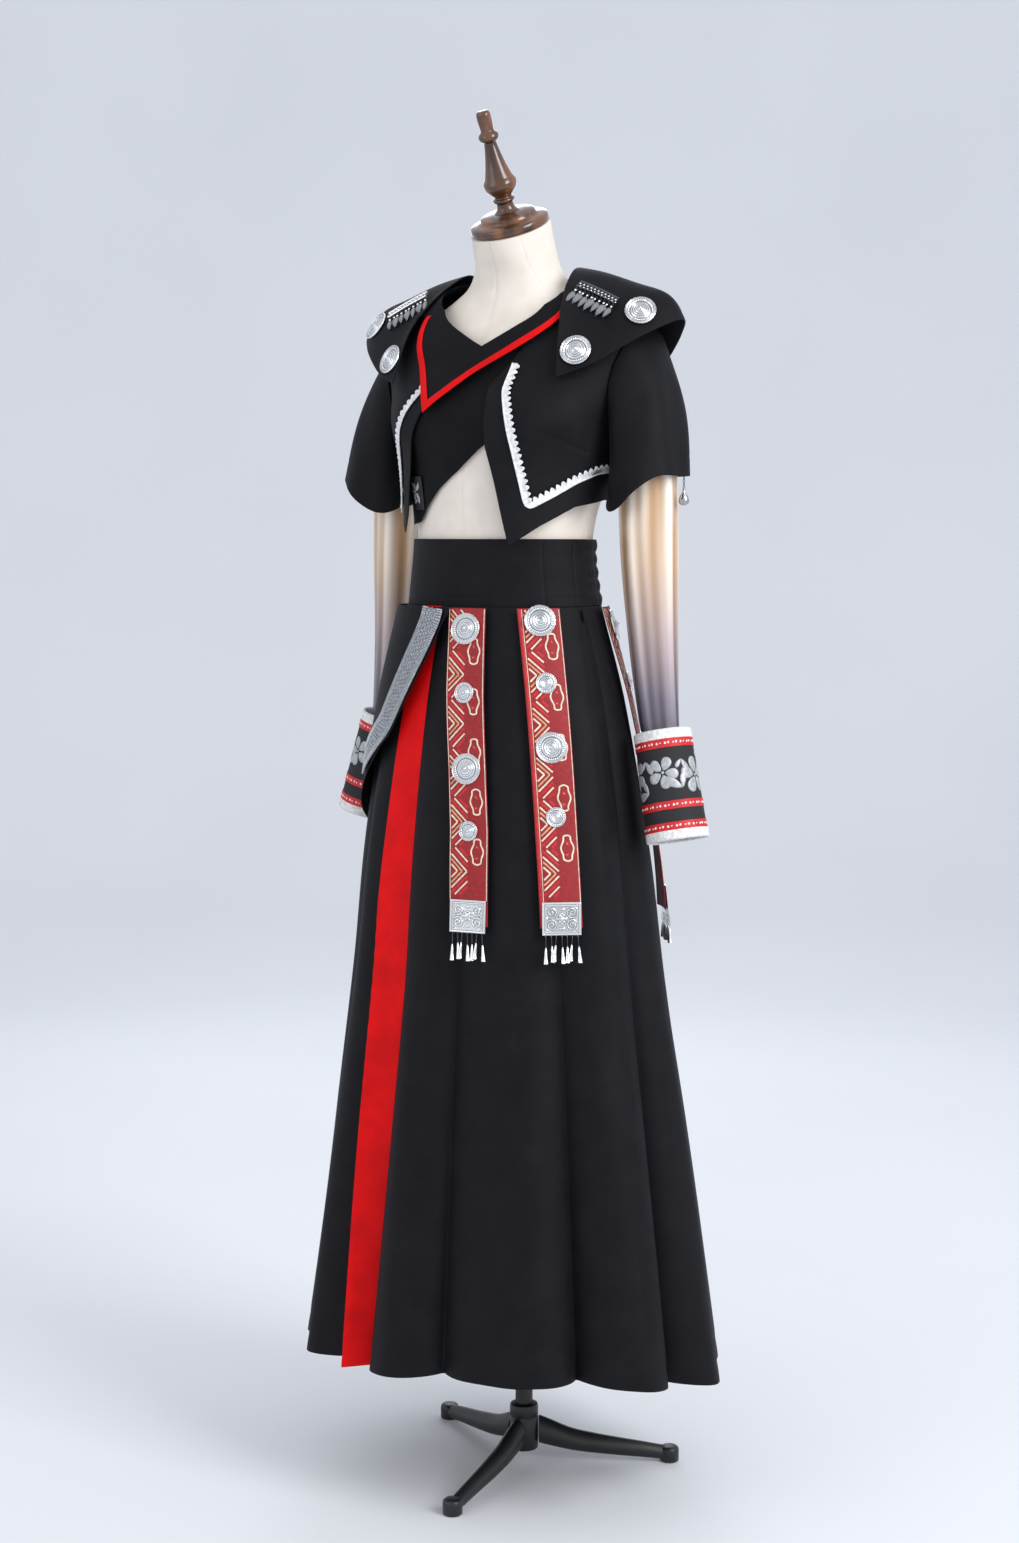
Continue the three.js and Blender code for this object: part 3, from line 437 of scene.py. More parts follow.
def math_node(tree, operation, a, b=0.0):
    return add_node(tree, "ShaderNodeMath", {0: a, 1: b}, operation=operation).outputs[0]


def weave_height(tree, thread_mm):
    """The height of a plain weave: warp and weft rise by turns, one thread every thread_mm."""
    place = add_node(tree, "ShaderNodeUVMap", uv_map="UVMap").outputs["UV"]
    axes = add_node(tree, "ShaderNodeSeparateXYZ", {"Vector": place})
    turn = math.pi / (thread_mm * MM)
    across = math_node(tree, "SINE", math_node(tree, "MULTIPLY", axes.outputs["X"], turn))
    along = math_node(tree, "SINE", math_node(tree, "MULTIPLY", axes.outputs["Y"], turn))
    return math_node(tree, "MULTIPLY", across, along)


def soft_noise(tree, size_mm, detail=3.0, stretch=(1, 1, 1)):
    """Noise whose blobs are about size_mm across, in the object's own metres."""
    place = add_node(tree, "ShaderNodeTexCoord").outputs["Object"]
    scaled = add_node(
        tree, "ShaderNodeMapping", {"Vector": place, "Scale": tuple(s / (size_mm * MM) for s in stretch)}
    )
    noise = add_node(
        tree, "ShaderNodeTexNoise", {"Vector": scaled.outputs[0], "Scale": 1.0, "Detail": detail}
    )
    return noise.outputs["Fac"]


def bumped(tree, shader, height, distance_mm, strength=1.0, under=None):
    """Leads a height into the shader's normal; under is a bump already made."""
    inputs = {"Height": height, "Distance": distance_mm * MM, "Strength": strength}
    if under is not None:
        inputs["Normal"] = under
    bump = add_node(tree, "ShaderNodeBump", inputs)
    tree.links.new(bump.outputs["Normal"], shader.inputs["Normal"])
    return bump.outputs["Normal"]


# %% [markdown]
# ### Cloths
#
# The black is polyester suiting: matt, a little blue where it turns to the light, with a short
# nap that sheen gives. Its threads are about 0.4 mm apart; they are drawn 0.9 mm apart, since
# finer ones would only blur. The scarlet is the same cloth dyed. The undersleeves are satin,
# whose long floats make bright streaks down each fold; these come partly from the shader's gloss
# and partly from lighter colour painted on the ridges, a painted highlight, with painted shade
# in the creases.

# %% Black suiting, scarlet cloth, linen
def woven_cloth(name, dark, light, thread_mm, roughness, sheen, sheen_tint):
    values = {"Roughness": roughness, "Sheen Weight": sheen, "Sheen Roughness": 0.45, "IOR": 1.5}
    material, tree, shader = new_material(name, values)
    shader.inputs["Sheen Tint"].default_value = linear(sheen_tint)
    shader.inputs["Specular IOR Level"].default_value = 0.14
    patches = soft_noise(tree, 35, 5.0)
    tree.links.new(ramp(tree, patches, [(0.3, dark), (0.7, light)]), shader.inputs["Base Color"])
    lumps = bumped(tree, shader, soft_noise(tree, 14, 2.0), 0.5, 0.35)
    slub = soft_noise(tree, 1.4, 2.0, (1, 1, 0.35))
    threads = math_node(tree, "ADD", weave_height(tree, thread_mm), slub)
    bumped(tree, shader, threads, 0.08, 0.6, lumps)
    return material


suiting = woven_cloth("black_suiting", "#0b0b0f", "#121217", 0.9, 0.6, 0.03, "#8f8fae")
top_cloth = woven_cloth("black_crepe", "#0a0a0d", "#101014", 0.9, 0.75, 0.03, "#8f8fae")
scarlet = woven_cloth("scarlet_cloth", "#c80207", "#e2060b", 0.9, 0.62, 0.06, "#ff3a34")
linen = woven_cloth("cream_linen", "#ddd4ca", "#e9e1d8", 0.8, 0.85, 0.15, "#ffffff")


# %% Satin, dyed down its length, with painted shade in its creases and painted highlight on its ridges
def ombre_satin_with_painted_fold_shade():
    """Dyed champagne at the shoulder and violet-grey at the wrist, with painted shade darkening each crease
    and a painted highlight lightening each ridge.
    """
    values = {"Roughness": 0.34, "Sheen Weight": 0.2, "Sheen Roughness": 0.3, "IOR": 1.5}
    material, tree, shader = new_material("ombre_satin", values)
    place = add_node(tree, "ShaderNodeTexCoord").outputs["Object"]
    height = add_node(tree, "ShaderNodeSeparateXYZ", {"Vector": place}).outputs["Z"]
    wander = math_node(tree, "MULTIPLY", soft_noise(tree, 60, 2.0, (1, 1, 0.3)), 0.05)
    level = math_node(tree, "SUBTRACT", math_node(tree, "ADD", height, wander), 0.92)
    level = math_node(tree, "DIVIDE", level, 0.40)
    # The dye's colours by height as seen on a ridge, lightened there as a painted highlight.
    ridge = ramp(
        tree,
        level,
        [
            (0.05, "#5f5b68"),
            (0.22, "#8b8392"),
            (0.42, "#c4b3b2"),
            (0.62, "#ecdccb"),
            (0.85, "#f6ece0"),
        ],
    )
    # The same dye's colours made darker and browner for the creases: painted shade.
    painted_trough_shade = ramp(
        tree,
        level,
        [
            (0.05, "#2a2730"),
            (0.22, "#4a4450"),
            (0.42, "#8a7570"),
            (0.62, "#b08c68"),
            (0.85, "#bd9468"),
        ],
    )
    # The fold attribute mixes the two: 0 in a crease gives the painted shade, 1 on a ridge the painted
    # highlight.
    depth = add_node(tree, "ShaderNodeAttribute", attribute_name="fold").outputs["Fac"]
    mixed = add_node(
        tree, "ShaderNodeMix", {"Factor": depth, 6: painted_trough_shade, 7: ridge}, data_type="RGBA"
    )
    tree.links.new(mixed.outputs[2], shader.inputs["Base Color"])
    bumped(tree, shader, soft_noise(tree, 2.2, 3.0, (1, 1, 0.06)), 0.25, 0.5)
    return material


satin = ombre_satin_with_painted_fold_shade()

# %% [markdown]
# ### Threads, lace and beads
#
# Embroidery thread is rayon: smooth, and twisted, so it shines along its length. The silver lace
# is a cotton braid wound with bright foil, so it is half metal. The beads of the hip braid are
# plated glass.


# %% Threads, lace and beads
def thread(name, colour, roughness, metallic=0.0, grain_mm=0.8):
    values = {"Roughness": roughness, "Metallic": metallic}
    material, tree, shader = new_material(name, values)
    shade = soft_noise(tree, 4, 3.0)
    darker = "#%02x%02x%02x" % tuple(int(int(colour[i : i + 2], 16) * 0.82) for i in (1, 3, 5))
    tree.links.new(ramp(tree, shade, [(0.3, darker), (0.7, colour)]), shader.inputs["Base Color"])
    bumped(tree, shader, soft_noise(tree, grain_mm, 2.0), 0.15, 0.7)
    return material


brocade_red = thread("brocade_ground", "#9c0f18", 0.6)
thread_scarlet = thread("scarlet_thread", "#c91620", 0.5)
thread_cream = thread("cream_thread", "#f2e2cb", 0.45)
thread_gold = thread("old_gold_thread", "#d9a878", 0.45)
thread_silver = thread("silver_grey_thread", "#b9bbc0", 0.4, 0.25)
thread_white = thread("white_thread", "#f0f0f0", 0.6)
white_binding = thread("white_cotton_binding", "#ececec", 0.75)
cuff_black = thread("cuff_black_ground", "#1b1b20", 0.75)
cuff_red = thread("red_cuff_ribbon", "#d3161c", 0.55)
lace_silver = thread("silver_lace", "#f4f5f7", 0.5, 0.1)
bead_silver = thread("plated_beads", "#d5d9de", 0.28, 0.85)
braid_ground = thread("grey_braid_ground", "#9a9ea5", 0.55, 0.25)

# %% [markdown]
# ### Silver, wood and iron
#
# The ornaments are thin alloy stamped in a die and silvered; their hollows are painted grey as
# painted shade and their raised edges painted near white as a painted highlight. The wood is
# walnut, turned and varnished. The stand is cast iron and steel tube, powder coated.


# %% Silver, wood and iron
def stamped_silver():
    """Painted shade, grey, in the hollows and a painted highlight on what stands up, both read from
    pointiness.
    """
    material, tree, shader = new_material("stamped_silver", {"Metallic": 1.0, "Roughness": 0.27})
    painted_light_pointiness = add_node(tree, "ShaderNodeNewGeometry").outputs["Pointiness"]
    # Pointiness paints the colour: dark grey in hollows as painted shade, near white on raised edges as a
    # painted highlight.
    colour = ramp(tree, painted_light_pointiness, [(0.45, "#5c6065"), (0.5, "#cfd2d6"), (0.545, "#f9fafb")])
    tree.links.new(colour, shader.inputs["Base Color"])
    bumped(tree, shader, soft_noise(tree, 2.5, 3.0), 0.12, 0.6)
    return material


def varnished_walnut():
    values = {"Roughness": 0.3, "Coat Weight": 0.7, "Coat Roughness": 0.08}
    material, tree, shader = new_material("varnished_walnut", values)
    grain = soft_noise(tree, 16, 6.0, (1, 1, 0.16))
    tree.links.new(
        ramp(tree, grain, [(0.3, "#2a1409"), (0.5, "#4d2a12"), (0.7, "#7a4a22")]),
        shader.inputs["Base Color"],
    )
    pores = soft_noise(tree, 1.6, 2.0, (1, 1, 0.1))
    bumped(tree, shader, pores, 0.06, 0.5)
    return material


def powder_coat():
    material, tree, shader = new_material("black_powder_coat", {"Roughness": 0.42})
    shade = soft_noise(tree, 30, 3.0)
    tree.links.new(ramp(tree, shade, [(0.3, "#131416"), (0.7, "#1c1d20")]), shader.inputs["Base Color"])
    # Orange peel: the bumps of sprayed and baked powder, about 0.8 mm across.
    bumped(tree, shader, soft_noise(tree, 0.8, 2.0), 0.05, 0.6)
    return material


silver = stamped_silver()
walnut = varnished_walnut()
iron = powder_coat()
print("materials:", len(bpy.data.materials))

# %% [markdown]
# ## The dress form
#
# A dress form is papier-mache padded and covered in linen, sewn from tall panels, so fine dark
# seams run down it. It is one closed surface: the same rings as the frame's, taken finely, with
# the neck cut off on the slant that carries the wooden cap.

# %% Linen body
NECK_TOP, NECK_TILT, NECK_RADIUS = 1545, 25, 47
TORSO_SEAMS = [0, 47, 90, 133, 180, 227, 270, 313]


def torso():
    body, shoulders, neck = (850, 1380, 80), (1382, 1480, 50), (1483, NECK_TOP, 22)
    rows = np.concatenate([np.linspace(*part) for part in (body, shoulders, neck)])
    columns = np.arange(0, 360, 1.5)
    phi, z = np.meshgrid(columns, rows)
    nearest = np.min([np.abs(wrapped(phi - seam)) for seam in TORSO_SEAMS], axis=0)
    radius = np.hypot(*on_form(phi, z)[..., :2].transpose(2, 0, 1))
    groove = 0.7 * hump(nearest * np.radians(1) * radius, 0, 1.3)
    points = on_form(phi, z, -groove)
    lean = np.clip((rows - 1490) / (NECK_TOP - 1490), 0, 1)[:, None]
    points[..., 2] -= lean * NECK_RADIUS * np.cos(np.radians(phi)) * math.tan(math.radians(NECK_TILT))
    m, n = phi.shape
    faces = grid_faces(m, n, True).tolist()
    centre_low, centre_top = points[0].mean(axis=0), points[-1].mean(axis=0)
    flat = np.concatenate([points.reshape(-1, 3), [centre_low, centre_top]])
    for i in range(n):
        k = (i + 1) % n
        faces.append([k, i, m * n])
        faces.append([(m - 1) * n + i, (m - 1) * n + k, m * n + 1])
    uv = np.stack([phi * np.radians(1) * 120 * MM, z * MM], -1).reshape(-1, 2)
    uv = np.concatenate([uv, uv[:2]])
    piece = new_piece("linen_body", flat, faces, linen, uv=uv, smooth_angle=60)
    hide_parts("form_torso")
    return centre_top


neck_centre = torso()
print("neck centre", np.round(neck_centre, 1))


# %% [markdown]
# ### Turned wood
#
# A lathe makes anything round: a profile is turned about an axis. The neck cap and the finial
# share the axis that leans forward with the neck.


# %% A lathe
def turned(profile, segments, matrix=None):
    """Points and faces of a profile [(radius, height)] turned about +Z, closed at both ends."""
    angles = np.linspace(0, 2 * math.pi, segments, endpoint=False)
    inner = np.array(profile[1:-1], float)
    ring = np.stack([np.cos(angles), np.sin(angles)], -1)
    points = np.concatenate(
        [
            np.concatenate([inner[j, 0] * ring, np.full((segments, 1), inner[j, 1])], 1)
            for j in range(len(inner))
        ]
    )
    faces = grid_faces(len(inner), segments, True).tolist()
    low, high = len(points), len(points) + 1
    points = np.concatenate([points, [[0, 0, profile[0][1]], [0, 0, profile[-1][1]]]])
    last = (len(inner) - 1) * segments
    for i in range(segments):
        k = (i + 1) % segments
        faces.append([k, i, low])
        faces.append([last + i, last + k, high])
    if matrix is not None:
        points = points @ np.array(matrix.to_3x3()).T + np.array(matrix.translation)
    return points, faces


def smooth_profile(corners, steps=5):
    """A profile with points put in between its corners on a smooth curve."""
    corners = [Vector((r, z, 0)) for r, z in corners]
    out = [corners[0]]
    for i in range(len(corners) - 1):
        before = corners[max(i - 1, 0)]
        a, b = corners[i], corners[i + 1]
        after = corners[min(i + 2, len(corners) - 1)]
        for k in range(1, steps + 1):
            t = k / steps
            p = 0.5 * (
                2 * a
                + (b - before) * t
                + (2 * before - 5 * a + 4 * b - after) * t * t
                + (3 * a - before - 3 * b + after) * t**3
            )
            out.append(p)
    return [(max(p.x, 0.0), p.y) for p in out]


LEAN = Matrix.Translation(Vector(neck_centre) + Vector((0, 0, 0.6))) @ Matrix.Rotation(
    math.radians(NECK_TILT), 4, "X"
)
cap_profile = [(0, 0), (45, 0)]
cap_profile += [(46 + 2 * math.sin(a), 5 - 5 * math.cos(a)) for a in np.linspace(0.2, 2.6, 10)]
cap_profile += [(43, 10.6), (38, 11.6), (35.5, 12.2), (34.2, 13.2), (33.6, 15), (33.4, 17), (31, 18.4)]
cap_profile += [(24, 19.6), (22, 20), (0, 20)]
points, faces = turned(cap_profile, 96, LEAN)
neck_cap = new_piece("walnut_neck_cap", points, faces, walnut, smooth_angle=50)
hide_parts("form_neck_cap")

FINIAL = [(15, 20.3), (12.5, 22.5), (10.6, 26), (10.2, 31), (12.6, 33.4), (13.2, 35), (12.6, 36.6)]
FINIAL += [(10.4, 38.4), (12, 41), (16.4, 45.5), (19.3, 50.5), (20.2, 56), (18.8, 59.5), (17.2, 62)]
FINIAL += [(16.4, 64), (14.4, 71), (12, 80), (9.4, 92), (7.6, 103), (8.4, 105.4), (11.2, 108)]
FINIAL += [(12.3, 111.5), (11.2, 115), (8.4, 117.6), (7.8, 120), (8.4, 126), (8.8, 134)]
FINIAL += [(8.4, 139.5), (6.5, 142)]
finial_profile = [(0, 20.3)] + smooth_profile(FINIAL, 4) + [(0, 142)]
points, faces = turned(finial_profile, 72, LEAN)
finial = new_piece("walnut_finial", points, faces, walnut, smooth_angle=60)
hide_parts("form_finial")

# %% [markdown]
# ### Pole, collar and cast legs
#
# The pole is plain tube. Each leg is a casting: wide and flat-sided below, with a rounded ridge
# on top, tapering to a round foot. It is lofted through sections that shrink along the leg.

# %% Stand
points, faces = turned([(0, 40), (11, 40), (11, 849.6), (0, 849.6)], 48)
pole = new_piece("steel_pole", points, faces, iron)
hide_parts("stand_pole")

collar_profile = [(0, 20.2), (17, 20.2), (18, 21.5), (18, 60), (17.4, 61), (17.4, 63), (18, 64)]
collar_profile += [(18, 75), (17.2, 77.8), (15, 79), (11.6, 79), (11.6, 78), (0, 78)]
points, faces = turned(collar_profile, 64)
collar = new_piece("clamp_collar", points, faces, iron)
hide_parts("stand_collar")


def cast_leg(name, node, angle):
    stations = np.array(
        [
            [18.8, 12.0, 27, 62],
            [30, 12.2, 24, 57.5],
            [60, 12, 17, 44.5],
            [90, 11.2, 12.5, 37],
            [120, 10, 9, 31],
            [150, 9.2, 6, 25.5],
            [172, 8.8, 3.6, 21.2],
            [186, 8.6, 2.4, 18.8],
        ]
    )
    x = np.linspace(18.8, 186, 40)
    half, low, high = (smooth(stations, x, k) for k in (1, 2, 3))
    turn = np.linspace(0, 2 * math.pi, 32, endpoint=False)
    # A rounded house shape: square shoulders below and a soft ridge above.
    wide = np.sign(np.cos(turn)) * np.abs(np.cos(turn)) ** 0.55
    tall = np.sign(np.sin(turn)) * np.abs(np.sin(turn)) ** 0.8
    pinch = np.where(tall > 0, 1 - 0.55 * np.maximum(tall, 0) ** 1.5, 1)
    y = half[:, None] * wide * pinch
    z = (low + high)[:, None] / 2 + (high - low)[:, None] / 2 * tall
    grid = np.stack([np.broadcast_to(x[:, None], y.shape), y, z], -1)
    m, n = y.shape
    faces = grid_faces(m, n, True, 0, True).tolist()
    points = np.concatenate([grid.reshape(-1, 3), [grid[0].mean(0), grid[-1].mean(0)]])
    for i in range(n):
        k = (i + 1) % n
        faces.append([i, k, m * n])
        faces.append([(m - 1) * n + k, (m - 1) * n + i, m * n + 1])
    foot_profile = [(0, 0), (11, 0), (12, 1), (12.1, 14), (11.4, 17), (9.6, 18.8), (6, 19.6), (0, 19.8)]
    foot_points, foot_faces = turned(foot_profile, 40)
    foot_points[:, 0] += 186
    faces += [[k + len(points) for k in f] for f in foot_faces]
    points = np.concatenate([points, foot_points])
    spin = Matrix.Rotation(math.radians(angle), 3, "Z")
    piece = new_piece(name, points @ np.array(spin).T, faces, iron, smooth_angle=50)
    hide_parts(node)


cast_leg("cast_leg_left", "stand_leg_left", 36)
cast_leg("cast_leg_back", "stand_leg_back", 156)
cast_leg("cast_leg_front", "stand_leg_front", 276)
print("form and stand made")

# %% [markdown]
# ## The skirt
#
# Six gores hang from a stiff waistband. Each gore is cut wider at the hem than at the waist, and
# the spare width falls into flutes: broad rounded ridges with narrow valleys between them. So a
# flute is a fold whose depth grows with the drop. The seams lie in the valleys, as a dressmaker
# puts them. The godet on the wearer's right is scarlet, pressed down its middle.

# %% Fluted surface
def sway(phi, z):
    """How far the folds by the godet swing round with the drop, in degrees."""
    near = soft_step(wrapped(phi), -90, -45) * (1 - soft_step(wrapped(phi), -10, 25))
    return near * (3.5 - 10 * skirt_drop(phi, z))


def fluted(phi, z, out=0.0):
    """The skirt's outer face, with its flutes and the soft lesser waves of hanging cloth."""
    phi, z = np.broadcast_arrays(np.asarray(phi, float), np.asarray(z, float))

    def at(phi, z):
        drop = skirt_drop(phi, z)
        lines = np.array(VALLEYS + [VALLEYS[0] + 360], float)
        turned = VALLEYS[0] + (phi - VALLEYS[0]) % 360
        i = np.clip(np.searchsorted(lines, turned, side="right") - 1, 0, len(lines) - 2)
        rise = np.sin(np.pi * (turned - lines[i]) / (lines[i + 1] - lines[i])) ** 2
        hill = ((rise + 0.0025) ** 0.3 - 0.0025**0.3) / (1.0025**0.3 - 0.0025**0.3)
        depth = (0.012 + 0.165 * drop) * (1 - hill)
        ease = drop * hill
        wave = 1.6 * np.sin(np.radians(9 * phi) + z * 0.0045)
        wave += 1.1 * np.sin(np.radians(16 * phi + 40) - z * 0.0062)
        wave += 0.7 * np.sin(np.radians(27 * phi) + z * 0.011)
        pucker = 0.35 * np.exp(-((SKIRT_TOP - z) / 24)) * np.sin(np.radians(44 * phi))
        return skirt_point(phi + sway(phi, z), z, 1 - depth + (ease * wave + pucker) / 200)

    along = at(phi + 0.15, z) - at(phi - 0.15, z)
    upwards = at(phi, z + 1) - at(phi, z - 1)
    return at(phi, z) + unit(np.cross(along, upwards)) * np.asarray(out, float)[..., None]


def crowded(phis, per_flute):
    """Columns between valleys, closer together near each valley, where the cloth turns hard."""
    parts = []
    for low, high in zip(phis[:-1], phis[1:]):
        t = np.linspace(0, 1, per_flute, endpoint=False)
        parts.append(low + (high - low) * (t - 0.11 * np.sin(4 * np.pi * t) / 2))
    return np.append(np.concatenate(parts), phis[-1])


# %% Cut the gores
SEAM_TURN = -0.05
STITCH_UP = 22
GORES = [
    ("gore_front", "skirt_gore_front", [-15.5, 8, 48]),
    ("gore_left", "skirt_gore_left", [48, 82, 115]),
    ("gore_back_left", "skirt_gore_back_left", [115, 150, 185]),
    ("gore_back_right", "skirt_gore_back_right", [185, 220, 255]),
    ("gore_right", "skirt_gore_right", [255, 280, 306, 328]),
]


def gore_grid(phis, per_flute, shape=fluted):
    columns = crowded(phis, per_flute)
    columns[0] += SEAM_TURN
    columns[-1] -= SEAM_TURN
    v = steps_with_edges(0, 1, 84, 0.002)[:, None]
    hem = hem_at(columns)
    z = hem + (SKIRT_TOP - hem) * v
    grid = shape(columns[None, :], z)
    # The hem is turned up and stitched: a faint groove runs a thumb's width above it.
    groove = -0.5 * hump(z - hem, STITCH_UP, 1.6)
    return grid + normals_of(grid) * groove[..., None], columns, z


for name, node, phis in GORES:
    grid, columns, z = gore_grid(phis, 30)
    if name == "gore_left":
        # The side seam, which runs down from the zip's tab, sinks into the cloth.
        seam = through([(150, 66), (800, 69), (950, 71.2), (1036, 73.5), (1095, 76.8)], z)
        near = (columns[None, :] - seam) * np.radians(1) * smooth(SKIRT_WIDTH, z, 1)
        grid = grid - normals_of(grid) * (0.9 * hump(near, 0, 1.8))[..., None]
    gore = cloth(name, grid, suiting, angle=60)
    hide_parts(node)
    as_sheet(gore, grid)


# %% The scarlet godet
def godet_shape(phi, z, out=0.0):
    """The godet between its two valleys: a flat left face, and a crest that sharpens lower down."""
    u = (np.asarray(phi, float) + 32) / 16.5
    drop = skirt_drop(phi, z)
    crest = np.clip(1.15 * drop - 0.35, 0.10, 0.80)
    before, behind = np.clip(u / crest, 0, 1), np.clip((1 - u) / (1 - crest), 0, 1)
    tent = np.minimum(before**0.8, behind**1.1)
    depth = 0.012 + 0.165 * drop
    waves = 1.2 * np.sin(z * 0.012 + u * 5) * tent * drop
    turned = np.asarray(phi, float) + sway(phi, z)
    point = skirt_point(turned, z, 1 - depth * (1 - tent) - (1 - tent) * tent * 0.04 * drop)
    outward = skirt_point(turned, z, 1.01) - skirt_point(turned, z, 1.0)
    return point + unit(outward) * (waves + np.asarray(out, float))[..., None]


grid, columns, z = gore_grid([-32, -15.5], 60, godet_shape)
godet = cloth("godet_scarlet", grid, scarlet, angle=60)
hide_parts("skirt_godet_red")
as_sheet(godet, grid)
print("skirt pieces:", len(sheets))

# %% [markdown]
# ## Waistband, zip tab and hip flap
#
# The waistband is stiffened, so it stays smooth in front, with two upright seams on the wearer's
# left by the zip. Behind it is elastic: rows of stitching gather it.


# %% Waistband
def waistband_grid():
    columns = np.arange(0, 360, 1.0)
    z = np.concatenate([[BAND_LOW, BAND_LOW + 0.4], np.linspace(1094.5, 1170.5, 54), [1171.6, 1172]])
    phi, height = np.meshgrid(columns, z)
    behind = soft_step(np.abs(wrapped(phi)), 84, 96)
    lane = (height - BAND_LOW) / (BAND_TOP - BAND_LOW) * 5
    puff = np.abs(np.sin(np.pi * lane))
    gather = np.sin(np.radians(phi * 52)) * 0.45 + np.sin(np.radians(phi * 31 + 20)) * 0.3
    out = 5 + behind * (1.3 * puff + gather * puff - 0.4)
    soft = 0.5 * np.sin(np.radians(phi * 5) + height * 0.05) * (1 - behind)
    girth = np.radians(1) * 105
    seams = hump((phi - 52) * girth, 0, 0.9) + hump((phi - 75) * girth, 0, 0.9)
    stitch = hump(height, 1103, 0.8) * (1 - behind)
    return on_form(phi, height, out + soft - 0.8 * seams - 0.45 * stitch)


grid = waistband_grid()
waistband = cloth("waistband_cloth", grid, suiting, 1.5, True, angle=60)
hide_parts("waistband")
as_sheet(waistband, grid, round_it=True)


# %% Boxes with rounded edges
def soft_bar(size, centre, axes, rounding=0.35, steps=6):
    """Points and faces of a rounded bar; axes are its three unit directions."""
    turn = np.linspace(0, 2 * np.pi, steps * 4, endpoint=False)
    square = np.stack([np.cos(turn), np.sin(turn)], -1)
    square = np.sign(square) * np.abs(square) ** rounding
    ends = np.array([-1, -0.97, -0.9, 0.9, 0.97, 1])
    shrink = np.array([0.0, 0.8, 1, 1, 0.8, 0.0]) * 0.999 + 0.001
    local = np.stack(
        [
            square[None, :, 0] * shrink[:, None] * size[0] / 2,
            square[None, :, 1] * shrink[:, None] * size[2] / 2,
            np.broadcast_to(ends[:, None] * size[1] / 2, (len(ends), len(turn))),
        ],
        -1,
    )
    axes = np.array(axes, float)
    points = local[..., :1] * axes[0] + local[..., 1:2] * axes[2] + local[..., 2:] * axes[1]
    return points.reshape(-1, 3) + centre, grid_faces(len(ends), len(turn), True, 0, True).tolist()


def frame_on(surface, a, b):
    """Place and directions (across, up, out) of a point on a surface of two values."""
    place = surface(a, b, 0.0)
    across = unit(surface(a + 0.3, b, 0.0) - surface(a - 0.3, b, 0.0))
    up = unit(surface(a, b + 0.5, 0.0) - surface(a, b - 0.5, 0.0))
    out = unit(np.cross(across, up))
    return place, across, unit(np.cross(out, across)), out


place, across, up, out = frame_on(on_skirt, 77.5, 1082.0)
points, faces = soft_bar((4, 15, 1.6), place + out * 3.0, (across, up, out))
tab = new_piece("zip_pull_tape", points, faces, suiting)
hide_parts("zip_tab")

# %% [markdown]
# The hip flap is a separate curved panel sewn under the waistband on the wearer's right. Its
# front edge slants down and back, and carries the beaded braid.

# %% Hip flap
HIP_FLAP = [(-2, 1084), (-5, 1071), (-9.5, 1041), (-14, 1020), (-18, 996), (-27.5, 940)]
HIP_FLAP += [(-41, 908), (-56, 878), (-70, 838), (-88, 805), (-106, 820), (-124, 868)]
HIP_FLAP += [(-142, 935), (-156, 1010), (-165, 1078)]
HIP_TRIM = [(-11.3, 1089), (-11.7, 1077), (-16, 1047), (-23, 1006), (-32.5, 950)]
HIP_TRIM += [(-44.7, 923), (-60, 893)]
HIP_TRIM_HALF = 16


def hip_flap_grid():
    columns = np.concatenate([np.linspace(-165, -30, 96), np.linspace(-29, -2, 64)])
    low = through(HIP_FLAP, columns)
    low = np.convolve(np.pad(low, 3, mode="edge"), np.ones(7) / 7, mode="valid")
    v = steps_with_edges(0, 1, 70, 0.003)[:, None]
    z = low + (1090 - low) * v
    phi = np.broadcast_to(columns[None, :], z.shape)
    wave = 1.4 * np.sin(np.radians(phi * 7) + z * 0.012) * np.clip((1090 - z) / 150, 0, 1)
    stitch = -0.4 * hump(z - low, 9, 1.2)
    return on_hip(phi, z, wave + stitch)


grid = hip_flap_grid()
hip_flap = cloth("hip_flap_cloth", grid, suiting, 1.3, angle=60)
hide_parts("hip_flap")
as_sheet(hip_flap, grid)

# %% [markdown]
# ## Things sewn along a line
#
# Piping, braid, lace, ribbon borders and embroidered motifs all follow a line drawn on another
# piece. One function walks along such a line at even steps and gives, at each step, the place,
# the direction along, the direction across in the surface, and the direction out of it.


